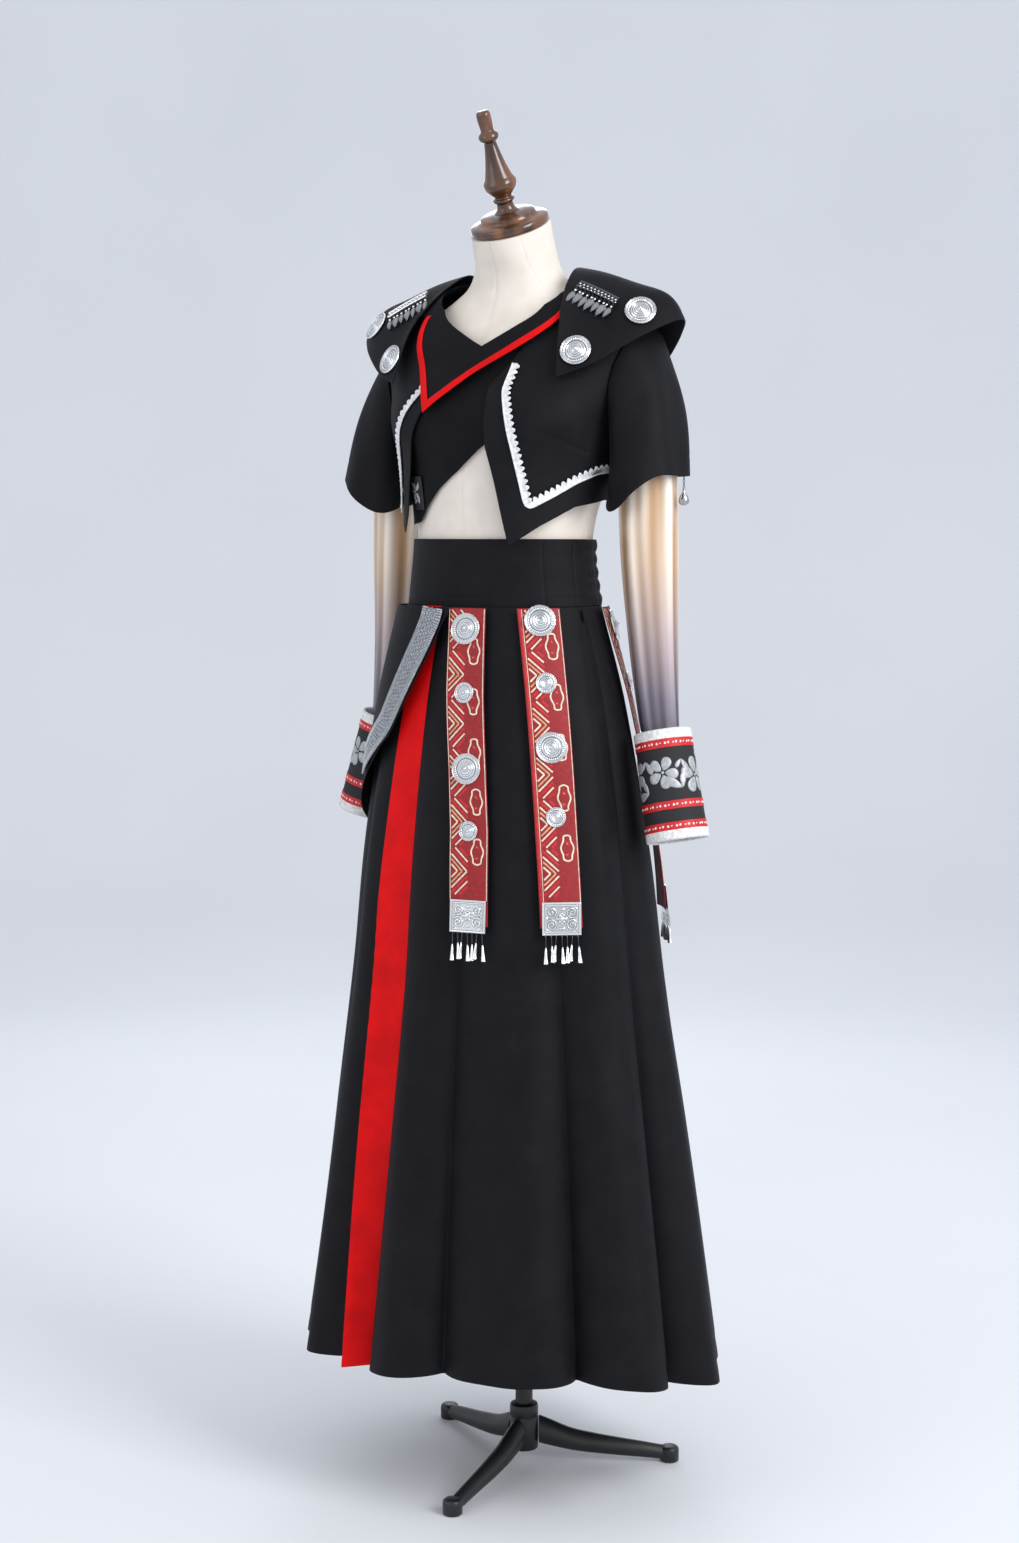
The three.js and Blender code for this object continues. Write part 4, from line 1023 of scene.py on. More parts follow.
# %% Walk along a line on a surface
def walk(surface, path, step, out=0.0, smooth_by=0):
    """Places, alongs, acrosses and outs at even steps of a path of (a, b) on a surface."""
    path = np.asarray(path, float)
    fine = np.concatenate(
        [
            path[i] + (path[i + 1] - path[i]) * np.linspace(0, 1, 40, endpoint=False)[:, None]
            for i in range(len(path) - 1)
        ]
        + [path[-1:]]
    )
    if smooth_by:
        kernel = np.hanning(smooth_by + 2)[1:-1]
        kernel /= kernel.sum()
        half = smooth_by // 2
        before, after = np.repeat(fine[:1], half, 0), np.repeat(fine[-1:], smooth_by - 1 - half, 0)
        padded = np.concatenate([before, fine, after])
        fine = np.stack([np.convolve(padded[:, k], kernel, mode="valid") for k in (0, 1)], -1)
    places = surface(fine[:, 0], fine[:, 1], np.zeros(len(fine)))
    run = np.concatenate([[0], np.cumsum(np.linalg.norm(np.diff(places, axis=0), axis=1))])
    count = max(int(round(run[-1] / step)), 2)
    s = np.linspace(0, run[-1], count + 1)
    a, b = np.interp(s, run, fine[:, 0]), np.interp(s, run, fine[:, 1])
    base = surface(a, b, np.zeros(len(a)))
    outs = unit(surface(a, b, np.ones(len(a))) - base)
    alongs = unit(np.gradient(base, axis=0))
    acrosses = unit(np.cross(outs, alongs))
    return base + outs * out, alongs, acrosses, outs, s


def strip_grid(line, across_mm, lift):
    """A strip along a line: across_mm and lift are (columns along, rows across) arrays."""
    places, _, acrosses, outs, _ = line
    grid = places[:, None] + acrosses[:, None] * across_mm[..., None] + outs[:, None] * lift[..., None]
    return grid.transpose(1, 0, 2)


def merged(parts):
    """Several (points, faces) as one."""
    points, faces, first = [], [], 0
    for p, f in parts:
        p = np.asarray(p, float).reshape(-1, 3)
        points.append(p)
        faces += [[k + first for k in face] for face in (f.tolist() if hasattr(f, "tolist") else f)]
        first += len(p)
    return np.concatenate(points), faces


def closed_tube(centres, ups, sides, radii, round_steps=10, flatten=1.0, loop=False):
    """A cord through centres; flatten is its height against its width."""
    turn = np.linspace(0, 2 * np.pi, round_steps, endpoint=False)
    radii = np.broadcast_to(np.asarray(radii, float), (len(centres),))
    ring = (
        sides[:, None] * np.cos(turn)[None, :, None]
        + ups[:, None] * np.sin(turn)[None, :, None] * flatten
    ) * radii[:, None, None]
    grid = centres[:, None] + ring
    m, n = grid.shape[:2]
    if loop:
        grid = np.concatenate([grid, grid[:1]])
        return grid.reshape(-1, 3), grid_faces(m + 1, n, True).tolist()
    faces = grid_faces(m, n, True).tolist()
    faces += [list(range(n))[::-1], [(m - 1) * n + i for i in range(n)]]
    return grid.reshape(-1, 3), faces


# %% [markdown]
# ### Beaded braid on the hip flap
#
# The braid is a strip of grey ground sewn all over with plated beads: two close rows along each
# edge, and slanting rows that cross between them.


# %% Beads along lines
def bead_ball(steps=7, rings=4):
    """A small ball of unit radius, closed with its two poles."""
    polar = np.linspace(0, np.pi, rings + 2)[1:-1]
    turn = np.linspace(0, 2 * np.pi, steps, endpoint=False)
    grid = np.stack(
        [
            np.sin(polar)[:, None] * np.cos(turn)[None],
            np.sin(polar)[:, None] * np.sin(turn)[None],
            np.broadcast_to(np.cos(polar)[:, None], (rings, steps)),
        ],
        -1,
    ).reshape(-1, 3)
    faces = grid_faces(rings, steps, True, 0, True).tolist()
    top, low = rings * steps, rings * steps + 1
    for i in range(steps):
        k = (i + 1) % steps
        faces.append([i, k, top])
        faces.append([(rings - 1) * steps + k, (rings - 1) * steps + i, low])
    return np.concatenate([grid, [[0, 0, 1], [0, 0, -1]]]), faces


def scattered(places, frames, size, ball=bead_ball()):
    """One mesh of many small shapes: frames is (n, 3, 3) of unit directions, size (n, 3)."""
    shape, faces = ball
    points = np.einsum("pk,nk,nkd->npd", shape, size, frames) + places[:, None]
    total = len(shape)
    every = []
    for i in range(len(places)):
        every += [[k + i * total for k in face] for face in faces]
    return points.reshape(-1, 3), every


def braid_on_flap():
    line = walk(on_hip, HIP_TRIM, 2.0, 0.5, 40)
    places, alongs, acrosses, outs, s = line
    across = np.linspace(-HIP_TRIM_HALF, HIP_TRIM_HALF, 17)[None, :] * np.ones((len(s), 1))
    lift = 1.4 + 0.25 * np.cos(across / HIP_TRIM_HALF * np.pi * 4)
    ground = strip_grid(line, across, lift)
    base = cloth("hip_braid_ground", ground, braid_ground, 0.9)
    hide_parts("hip_trim")
    fine = walk(on_hip, HIP_TRIM, 2.7, 0.5, 40)
    places, alongs, acrosses, outs, s = fine
    frames = np.stack([alongs, acrosses, outs], axis=1)
    centres, axes, sizes = [], [], []

    def row(offset, size):
        centres.append(places + acrosses * offset[:, None] + outs * 2.0)
        axes.append(frames)
        sizes.append(np.broadcast_to(size, (len(places), 3)))

    for offset in (-15, -12.6, -10.4, 10.4, 12.6, 15):
        row(np.full(len(s), float(offset)), (1.25, 1.0, 1.0))
    for phase in (0, 0.25, 0.5, 0.75):
        swing = np.abs(((s / 26 + phase) % 1) * 2 - 1) * 2 - 1
        row(swing * 8.2, (1.3, 1.0, 0.9))
    points, faces = scattered(np.concatenate(centres), np.concatenate(axes), np.concatenate(sizes))
    beads = new_piece("hip_braid_beads", points, faces, bead_silver, smooth_angle=80)
    as_sheet(base, ground)


braid_on_flap()
print("beaded braid sewn on")

# %% [markdown]
# ## Crop top, bib and scarlet tape
#
# The top wraps over the chest: its hem slants from a low corner on the wearer's right up to the
# breastbone. Over it lies a wide V-shaped bib, whose edge is bound with scarlet tape, cut on the
# bias so that it turns the point without a pucker.

# %% Crop top
TOP_HEM = [(-180, 1240), (-120, 1232), (-90, 1215), (-58, 1190), (-38, 1193), (-16, 1232)]
TOP_HEM += [(0, 1256), (14, 1284), (22, 1290), (40, 1284), (90, 1262), (140, 1244), (180, 1240)]
NECKLINE = [(-180, 1464), (-100, 1474), (-70, 1466), (-40, 1450), (-26, 1438), (-12, 1416)]
NECKLINE += [(4, 1392), (18, 1416), (32, 1438), (46, 1450), (74, 1466), (100, 1474), (180, 1464)]
PIPING = [(-180, 1436), (-120, 1447), (-90, 1452), (-60, 1446), (-34, 1428), (-24, 1374)]
PIPING += [(-16, 1320), (0, 1352), (20, 1392), (40, 1428), (60, 1446), (90, 1452)]
PIPING += [(120, 1447), (180, 1436)]


def round_panel(low_of, top_of, out, rows, columns, relief=None):
    """A grid round the form between two edges that depend on the angle."""
    phi = np.asarray(columns, float)
    low, top = low_of(wrapped(phi)), top_of(wrapped(phi))
    v = steps_with_edges(0, 1, rows, 0.004)[:, None]
    z = low + (top - low) * v
    angle = np.broadcast_to(phi[None, :], z.shape)
    extra = 0 if relief is None else relief(angle, z, low, top)
    return on_form(angle, z, out + extra)


def armhole(grow):
    """Says whether points lie in the armhole, an oval seen from the side."""

    def inside(points):
        return ((points[:, 1] + 5) / (56 + grow)) ** 2 + ((points[:, 2] - 1350) / (72 + grow)) ** 2 < 1

    return inside


def top_relief(phi, z, low, top):
    drag = 0.8 * np.sin(np.radians(phi * 3) + z * 0.06) * soft_step(z, 1180, 1230)
    stitch = -0.4 * hump(z - low, 7, 1.0)
    return drag * soft_step(1330 - z, 0, 60) + stitch


grid = round_panel(
    lambda phi: through(TOP_HEM, phi),
    lambda phi: through(NECKLINE, phi) - 10,
    5,
    90,
    np.arange(-180, 180, 1.2),
    top_relief,
)
crop_top = cloth(
    "crop_top_cloth", grid, top_cloth, 1.4, True, hole=armhole(-8), angle=60
)
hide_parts("crop_top")
as_sheet(crop_top, grid, round_it=True, cut_out=0.029)

# %% Bib and its tape
grid = round_panel(
    lambda phi: through(PIPING, phi),
    lambda phi: through(NECKLINE, phi),
    16,
    36,
    np.sort(np.append(np.arange(-180, 180, 1.0), [-16.2, -15.8, 3.8, 4.2])),
    lambda phi, z, low, top: -0.35 * hump(top - z, 5, 0.8),
)
bib = cloth("bib_cloth", grid, top_cloth, 1.5, True, angle=50)
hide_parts("bib")
as_sheet(bib, grid, round_it=True)


def tape_path():
    angles = [-34, -24, -16, 0, 20, 40]
    return [(phi, through(PIPING, phi) + 3) for phi in angles]


def mitred(surface, path, half, lift, step=1.5, rows=9):
    """A flat tape along a path with mitred corners, as rows across of columns along."""
    path = np.asarray(path, float)
    places = surface(path[:, 0], path[:, 1], np.zeros(len(path)))
    sides = np.linspace(-1, 1, rows)
    lines = []
    for side in sides:
        corners = []
        for i in range(len(path)):
            before = unit(places[i] - places[max(i - 1, 0)]) if i else None
            after = unit(places[min(i + 1, len(path) - 1)] - places[i]) if i < len(path) - 1 else None
            along = unit(sum(side for side in (before, after) if side is not None))
            grow = 1 / max(0.35, float(along @ (before if before is not None else after)))
            out = unit(surface(path[i, 0], path[i, 1], 1.0) - places[i])
            across = unit(np.cross(out, along))
            right = surface(path[i, 0] + 0.5, path[i, 1], 0.0) - places[i]
            up = surface(path[i, 0], path[i, 1] + 1, 0.0) - places[i]
            wanted = across * half * side * grow
            pair = np.linalg.lstsq(np.stack([right, up], 1), wanted, rcond=None)[0]
            corners.append(path[i] + pair * (0.5, 1))
        corners = np.array(corners)
        run = np.concatenate([[0], np.cumsum(np.linalg.norm(np.diff(places, axis=0), axis=1))])
        s = np.linspace(0, run[-1], int(run[-1] / step) + 1)
        s = np.sort(np.unique(np.concatenate([s, run])))
        a, b = np.interp(s, run, corners[:, 0]), np.interp(s, run, corners[:, 1])
        rise = lift + 0.5 * math.cos(side * math.pi / 2)
        lines.append(surface(a, b, np.full(len(s), rise)))
    return np.stack(lines, axis=0)


grid = mitred(on_form, tape_path(), 4.0, 17.2)
tape = cloth("scarlet_bias_tape", grid, scarlet, 0.9)
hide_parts("bib_piping")
as_sheet(tape, grid)

# %% [markdown]
# ## Jacket
#
# Two fronts and a back meet at the side seams under the arms. The fronts are cut away in a curve
# and hang to a point. A long dart on each side shapes the bust, from the side towards its peak.


# %% Jacket panels
EDGE_LEFT = [(1164, 32), (1236, 22), (1280, 16), (1312, 14), (1345, 12), (1440, 30)]
EDGE_RIGHT = [(1164, 46), (1200, 40), (1240, 38), (1292, 27), (1324, 19), (1345, 14), (1440, 30)]
JACKET_HEM = [(0, 1164), (32, 1164), (48, 1188), (68, 1212), (90, 1222), (130, 1225), (180, 1226)]
JACKET_TOP = [(0, 1400), (14, 1388), (30, 1420), (90, 1462), (180, 1450)]


def settled(edge, far, u, v):
    """Angles and heights of a panel whose front edge leans: each depends on the other."""
    phi = edge(1300 + 0 * v) + (far - edge(1300 + 0 * v)) * u
    for _ in range(12):
        low, top = through(JACKET_HEM, np.abs(phi)), through(JACKET_TOP, np.abs(phi))
        z = low + (top - low) * v
        phi = edge(z) + (far - edge(z)) * u
    return phi, z, low


def jacket_relief(phi, z, low):
    """The dart, the turned edge's stitching and the slight drag of the cloth."""
    place = np.abs(phi)
    dart_share = (place - 38) / 28
    line = 1300 - 24 * dart_share
    dart = -1.1 * hump(z, line, 1.5) * (dart_share > 0) * (dart_share < 1)
    swell = 1.0 * np.exp(-(((place - 37) / 9) ** 2 + ((z - 1302) / 14) ** 2))
    stitch = -0.35 * hump(z - low, 12, 0.9)
    drag = 1.1 * np.sin(np.radians(phi * 6) + z * 0.03) * soft_step(z, 1400, 1250)
    drag += 0.9 * np.sin(z * 0.055 - np.radians(phi * 4)) * soft_step(place, 40, 80)
    return dart + swell + stitch + drag


def jacket_front(name, node, side, edge_table):
    u = steps_with_edges(0, 1, 90, 0.004)[None, :]
    v = steps_with_edges(0, 1, 110, 0.003)[:, None]
    u, v = np.broadcast_arrays(u, v)
    phi, z, low = settled(lambda height: through(edge_table, height), 90.05, u, v)
    girth = np.radians(1) * 140
    edge = through(edge_table, z)
    near = -0.35 * hump((phi - edge) * girth, 9, 0.9)
    grid = on_jacket(side * phi, z, jacket_relief(phi, z, low) + near)
    if side < 0:
        grid = grid[:, ::-1]
    front = cloth(name, grid, suiting, 1.4, hole=armhole(0), angle=50)
    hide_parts(node)
    as_sheet(front, grid, cut_out=0.008)


jacket_front("jacket_left_front", "jacket_front_left", 1, EDGE_LEFT)
jacket_front("jacket_right_front", "jacket_front_right", -1, EDGE_RIGHT)


def jacket_back():
    phi = np.linspace(89.95, 270.05, 150)[None, :]
    v = steps_with_edges(0, 1, 100, 0.003)[:, None]
    turned = np.abs(wrapped(phi))
    low, top = through(JACKET_HEM, turned), through(JACKET_TOP, turned)
    z = low + (top - low) * v
    phi = np.broadcast_to(phi, z.shape)
    middle = -0.9 * hump((phi - 180) * 1.9, 0, 1.0)
    drag = 1.2 * np.sin(np.radians(phi * 7) + z * 0.02) * soft_step(z, 1400, 1240)
    grid = on_jacket(phi, z, middle + drag - 0.35 * hump(z - low, 12, 0.9))
    back = cloth("jacket_back_cloth", grid, suiting, 1.4, hole=armhole(0), angle=50)
    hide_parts("jacket_back")
    as_sheet(back, grid, cut_out=0.015)


jacket_back()

# %% [markdown]
# ### Silver lace
#
# The lace is a braid with a corded foot on the edge's side and a row of rounded teeth on the
# other. It is one long strip, so it is walked round the jacket in one go. Between foot and teeth
# the braid is openwork, which its relief suggests.


# %% Lace round the jacket
LACE_LEFT = [(20, 1374), (20, 1340), (25, 1308), (32, 1260), (40, 1210), (52, 1226), (64, 1244)]
LACE_LEFT += [(76, 1256), (90, 1260)]
LACE_RIGHT = [(270, 1260), (282, 1250), (292, 1230), (301, 1206), (305, 1238), (314, 1268)]
LACE_RIGHT += [(323, 1296), (331, 1322), (339, 1348)]
TOOTH = 7.6


def lace():
    path = LACE_LEFT + [(180, 1262)] + LACE_RIGHT
    places, alongs, acrosses, outs, s = walk(on_jacket, path, 0.62, 0.4, 30)
    tooth = np.abs(np.sin(np.pi * s / TOOTH)) ** 0.9
    inner_reach = 2.3 + 5.0 * tooth
    share = np.array([-1, -0.93, -0.75, -0.55, -0.35, -0.1, 0.15, 0.4, 0.65, 0.85, 0.96, 1.0])
    across = np.where(share[None, :] < 0, share[None, :] * 4.0, share[None, :] * inner_reach[:, None])
    foot = 0.8 * hump(share, -0.8, 0.16)
    rope = 0.35 * np.sin(2 * np.pi * s / 1.9)[:, None] * hump(share, -0.8, 0.2)[None, :]
    mesh = 0.35 * np.sin(2 * np.pi * s / 3.1)[:, None] * np.sin(np.pi * share * 3)[None, :]
    edge_cord = 0.7 * hump(share, 0.85, 0.16)
    lift = 1.3 + foot[None, :] + edge_cord[None, :] + rope + mesh
    line = (places, alongs, acrosses, outs, s)
    grid = strip_grid(line, across, lift)
    braid = cloth("silver_lace_braid", grid, lace_silver, 1.0, angle=40)
    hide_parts("jacket_lace")
    flat = strip_grid(line, np.broadcast_to([[-4.0, 7.2]], (len(s), 2)), np.ones((len(s), 2)))
    as_sheet(braid, flat)


lace()
print("top, bib and jacket made")

# %% [markdown]
# ## Short sleeves
#
# Each sleeve is set into the armhole: it starts on the oval of the armhole, and ends in a wider
# ring that is longest under the arm's front. Loft rings in between, with the crown lifted, give
# the true shape of a set-in sleeve, whose cloth stands off the shoulder.


# %% Sleeves
def side_on_form(y, z, out):
    """How far out sideways the form's surface stands at a place y, z, with `out` added."""
    middle, a, front, back = (smooth(FORM, z, k) for k in (1, 2, 3, 4))
    inside = (y - middle) / np.where(y < middle, front + out, back + out)
    return (a + out) * np.sqrt(np.maximum(0.02, 1 - inside**2))


HEM_RINGS = {1: (188, -22, 46, 55), -1: (197, -16, 53, 56)}


def sleeve_grid(side):
    hem_x, hem_y, half_x, half_y = HEM_RINGS[side]
    t = np.linspace(0, 360, 150, endpoint=False)
    v = steps_with_edges(0, 1, 76, 0.004)[:, None]
    c, s = np.cos(np.radians(t)), np.sin(np.radians(t))
    y0, z0 = -5 - 57.5 * c, 1350 + 73.5 * s
    x0 = side_on_form(y0, z0, 14.5)
    hem_z = 1247 - 42 * np.maximum(0, np.cos(np.radians(t + 30))) ** 2
    x1, y1, z1 = hem_x + half_x * s, hem_y - half_y * c, hem_z
    bulge = np.sin(np.pi * v) * 12 * np.maximum(0, s)
    x = x0 + (x1 - x0) * v + bulge
    y = y0 + (y1 - y0) * v
    z = z0 + (z1 - z0) * v + 0.2 * bulge
    grid = np.stack([x, y, z], -1)
    fold = 2.2 * np.sin(np.radians(t * 3 + 20)) * v**1.2 + 1.3 * np.sin(np.radians(t * 7)) * v
    pull = 1.0 * np.sin(np.radians(t * 5 + 300 * v)) * np.sin(np.pi * v)
    turned = -0.45 * hump(np.abs(z - hem_z), 22, 1.0) * (v > 0.5)
    armpit = soft_step(s, -0.6, 0.2)
    out = normals_of(grid, True)
    outward = np.sign(np.sum(out * (grid - grid.mean(axis=1, keepdims=True)), -1).mean())
    grid = grid + out * outward * ((fold + pull) * armpit + turned)[..., None]
    if outward < 0:
        grid = grid[:, ::-1]
    if side < 0:
        grid = (grid * (-1, 1, 1))[:, ::-1]
    return grid


for side, word in ((1, "left"), (-1, "right")):
    grid = sleeve_grid(side)
    sleeve = cloth("jacket_sleeve_" + word, grid, suiting, 1.4, True, angle=60)
    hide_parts("short_sleeve_" + word)
    as_sheet(sleeve, grid, round_it=True)

# %% [markdown]
# ## Shoulder flaps
#
# Each shoulder carries a wide stiff collar-like flap, pointed in front and behind, whose outer
# edge curls up. It hangs from the neck edge, so its shape is a surface between two curves.


# %% Flaps
FLAP_NECK = [(104, -80, 1440), (90, -45, 1474), (80, -3, 1496), (90, 40, 1484), (104, 78, 1448)]
FLAP_EDGE = [(118, -112, 1360), (157, -90, 1377), (200, -54, 1408), (226, -8, 1428)]
FLAP_EDGE += [(196, 42, 1414), (154, 80, 1388), (118, 104, 1374)]


def on_curve(corners, share):
    """A smooth curve through corners, from share 0 to 1."""
    corners = np.array(corners, float)
    ends = 2 * corners[0] - corners[1], 2 * corners[-1] - corners[-2]
    padded = np.concatenate([[ends[0]], corners, [ends[1]]])
    place = np.clip(np.asarray(share, float), 0, 1) * (len(corners) - 1)
    i = np.minimum(place.astype(int), len(corners) - 2)
    t = (place - i)[..., None]
    a, b, c, d = (padded[i + k] for k in range(4))
    return 0.5 * (2 * b + (c - a) * t + (2 * a - 5 * b + 4 * c - d) * t**2 + (3 * b - a - 3 * c + d) * t**3)


def flap_point(s, t):
    s, t = np.broadcast_arrays(np.asarray(s, float), np.asarray(t, float))
    neck, edge = on_curve(FLAP_NECK, s), on_curve(FLAP_EDGE, s)
    point = neck + (edge - neck) * t[..., None]
    ridge = np.maximum(0, np.sin(np.pi * s))
    rise = 13 * np.sin(np.pi * t) * (0.6 + 0.4 * ridge)
    rise = rise + 14 * ridge**3 * t**6 * (1 - t) / 0.0566
    return point + np.stack([0 * rise, 0 * rise, rise], -1)


def on_flap(side):
    def surface(s, t, out=0.0):
        s, t = np.broadcast_arrays(np.asarray(s, float), np.asarray(t, float))
        along = flap_point(s + 0.003, t) - flap_point(s - 0.003, t)
        down = flap_point(s, np.minimum(t + 0.003, 1)) - flap_point(s, t - 0.003)
        normal = unit(np.cross(along, down))
        normal = normal * np.where(normal[..., 2:] < 0, -1, 1)
        point = flap_point(s, t) + normal * np.asarray(out, float)[..., None]
        return point * (side, 1, 1)

    return surface


def flap(side, word):
    surface = on_flap(side)
    s = steps_with_edges(0, 1, 110, 0.004)[None, :]
    t = steps_with_edges(0, 1, 70, 0.006)[:, None]
    s, t = np.broadcast_arrays(s, t)
    length = np.linalg.norm(on_curve(FLAP_EDGE, s) - on_curve(FLAP_NECK, s), axis=-1)
    stitch = -0.4 * hump((1 - t) * length, 5, 0.8)
    soft = 0.8 * np.sin(s * 17 + t * 4) * np.sin(np.pi * t)
    grid = surface(s, t, stitch + soft)
    up = normals_of(grid)
    if up[..., 2].mean() < 0:
        grid = grid[:, ::-1]
    piece = cloth("shoulder_flap_cloth_" + word, grid, suiting, 1.8, angle=50)
    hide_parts("shoulder_flap_" + word)
    as_sheet(piece, grid)


flap(1, "left")
flap(-1, "right")
print("sleeves and flaps made")

# %% [markdown]
# ## Undersleeves and cuffs
#
# The undersleeve is a plain satin tube that falls in long upright folds. Each ring of the tube
# is a circle with a few soft waves; the same waves mark which points lie in a crease, where the
# satin's colour is darkened as painted shade, and which on a ridge, where it is lightened as a
# painted highlight.


# %% Undersleeves
ARM_LEFT = [(932, 208, -17, 22.5, 22.5), (957, 202, -15, 24, 24), (1050, 192, -12, 29, 29)]
ARM_LEFT += [(1165, 184, -9, 34, 34), (1250, 182.5, -8, 33, 33), (1286, 185, -8, 23, 33)]
ARM_RIGHT = [(932, 226, 20, 22.5, 22.5), (957, 219, 18, 24, 24), (1050, 203, 10, 29, 29)]
ARM_RIGHT += [(1165, 190, 0, 34, 34), (1250, 182.5, -8, 33, 33), (1286, 185, -8, 23, 33)]


def undersleeve(side, word, table):
    table = np.array(table, float)
    turn = np.linspace(0, 360, 160, endpoint=False)
    z = steps_with_edges(932, 1286, 120, 0.002)[:, None]
    x, y, wide, deep = (smooth(table, z, k) for k in (1, 2, 3, 4))
    angle = np.radians(turn)
    drift = (z - 932) / 354
    wave = 0.5 * np.cos(5 * angle + 0.5 * np.sin(drift * 4)) + 0.32 * np.cos(8 * angle + 1.7 + drift)
    wave += 0.18 * np.cos(13 * angle + 3 * drift)
    gathered = 0.35 + 0.65 * soft_step(drift, 0.02, 0.3)
    swell = 1 + 0.085 * wave * gathered - 0.02
    grid = np.stack(
        [side * (x + wide * np.sin(angle) * swell), y - deep * np.cos(angle) * swell, z + 0 * swell], -1
    )
    # fold marks the creases for the satin's painted shade and the ridges for its painted highlight.
    fold = np.clip(0.5 + 0.85 * wave, 0, 1)
    if side < 0:
        grid, fold = grid[:, ::-1], fold[:, ::-1]
    piece = cloth("satin_undersleeve_" + word, grid, satin, 0.9, True, fold=fold, angle=80)
    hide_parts("undersleeve_" + word)
    as_sheet(piece, grid, round_it=True)


undersleeve(1, "left", ARM_LEFT)
undersleeve(-1, "right", ARM_RIGHT)

# %% [markdown]
# ### Cuffs
#
# The cuff is a stiff lined cone. White cotton binds both ends, red ribbon with white marks lies
# inside each binding and once more above a plain black band, and between the two upper ribbons
# the ground is covered with silver-grey flowers in satin stitch. Satin stitch stands up from the
# ground, so each petal is a low mound with a turned-down edge.


# %% Cuff cone and its bands
CUFFS = {
    "left": (1, (207, -16, 944), 33.5, (235, -26, 820), 36.5),
    "right": (-1, (224, 19, 944), 33.5, (258, 16, 820), 36.5),
}
CUFF_LENGTH = 128.0


def on_cuff(word):
    side, top, top_radius, low, low_radius = CUFFS[word]
    top, low = np.array(top, float), np.array(low, float)
    axis = unit(low - top)
    ahead = unit(np.cross(axis, np.cross((0.0, -1.0, 0.0), axis)))
    outer_side = unit(np.cross(ahead, axis))
    if outer_side[0] < 0:
        outer_side = -outer_side

    def surface(angle, down, out=0.0):
        """angle in degrees from the front, down in mm along the cuff from its top."""
        angle, down = np.broadcast_arrays(np.asarray(angle, float), np.asarray(down, float))
        share = down / CUFF_LENGTH
        radius = top_radius + (low_radius - top_radius) * share + np.asarray(out, float)
        centre = top + (low - top) * share[..., None]
        a = np.radians(angle)[..., None]
        p = centre + (ahead * np.cos(a) + outer_side * np.sin(a)) * radius[..., None]
        return p * (side, 1, 1)

    return surface


def cuff_band(name, word, start, end, out, thick, material, relief=None, rows=14):
    surface = on_cuff(word)
    angle = np.linspace(0, 360, 200, endpoint=False)[None, :]
    down = steps_with_edges(end, start, rows, 0.03)[:, None]
    angle, down = np.broadcast_arrays(angle, down)
    lift = out + (0 if relief is None else relief(angle, down))
    grid = surface(angle, down, lift)
    if np.sum(normals_of(grid, True) * (grid - grid.mean(axis=1, keepdims=True))) < 0:
        grid = grid[:, ::-1]
    return cloth(name, grid, material, thick, True, angle=50), grid


# %% Raised satin-stitch shapes
def mound(surface, outline, centre, height, mm_a, mm_b, rings=5, sink=0.5):
    """A stitched shape: outline is (n, 2) in mm round centre, which is a place on the surface."""
    outline = np.asarray(outline, float)
    shares = np.linspace(0, 1, rings + 1)[1:]
    rise = height * (1 - shares**6)
    a = centre[0] + outline[None, :, 0] * shares[:, None] / mm_a
    b = centre[1] + outline[None, :, 1] * shares[:, None] / mm_b
    grid = surface(a, b, rise[:, None] * np.ones((1, len(outline))))
    low = surface(a[-1], b[-1], np.full(len(outline), -sink))
    middle = surface(centre[0], centre[1], height)
    points = np.concatenate([grid.reshape(-1, 3), low, [middle]])
    n = len(outline)
    faces = grid_faces(rings + 1, n, True).tolist()
    last = len(points) - 1
    faces += [[(i + 1) % n, i, last] for i in range(n)]
    return points, faces


def petal(length, width, turn, offset=(0.0, 0.0), count=26, tip=1.5):
    """A leaf or petal outline that starts at offset and points along turn, in degrees."""
    t = np.linspace(0, 2 * np.pi, count, endpoint=False)
    x = length / 2 * (1 - np.cos(t))
    y = width / 2 * np.sin(t) * (np.abs(np.sin(t / 2)) ** (1 / tip)) * 1.25
    c, s = math.cos(math.radians(turn)), math.sin(math.radians(turn))
    return np.stack([x * c - y * s + offset[0], x * s + y * c + offset[1]], -1)


def about(outline):
    middle = outline.mean(axis=0)
    return outline - middle, middle


def stitched(surface, place, shapes, height, mm_a, mm_b):
    """Several outlines in mm round one place, each as its own mound."""
    parts = []
    for outline in shapes:
        local, middle = about(outline)
        centre = (place[0] + middle[0] / mm_a, place[1] + middle[1] / mm_b)
        parts.append(mound(surface, local, centre, height, mm_a, mm_b))
    return parts


def flower(size, turn, petals=5):
    """A five-petalled flower with a round eye."""
    shapes = []
    for k in range(petals):
        heading = turn + 360 * k / petals
        start = (2.6 * math.cos(math.radians(heading)), 2.6 * math.sin(math.radians(heading)))
        shapes.append(petal(size * 0.5, size * 0.36, heading, start))
    eye = np.linspace(0, 2 * np.pi, 14, endpoint=False)
    shapes.append(np.stack([1.9 * np.cos(eye), 1.9 * np.sin(eye)], -1))
    return shapes


CUFF_FLOWERS = [(20, 38, 34, 10), (92, 44, 40, 50), (165, 34, 32, 20), (238, 46, 38, 80), (308, 36, 34, 35)]
CUFF_LEAVES = [(56, 62, 26, -150), (60, 28, 18, 60), (128, 66, 24, -30), (130, 26, 20, 130)]
CUFF_LEAVES += [(200, 62, 24, 200), (204, 28, 17, 40), (272, 68, 22, -20), (274, 26, 18, 120)]
CUFF_LEAVES += [(344, 64, 24, 170), (344, 26, 18, 60)]


def embroidery(name, points, faces, thread_used):
    return new_piece(name, points, faces, thread_used, smooth_angle=80)


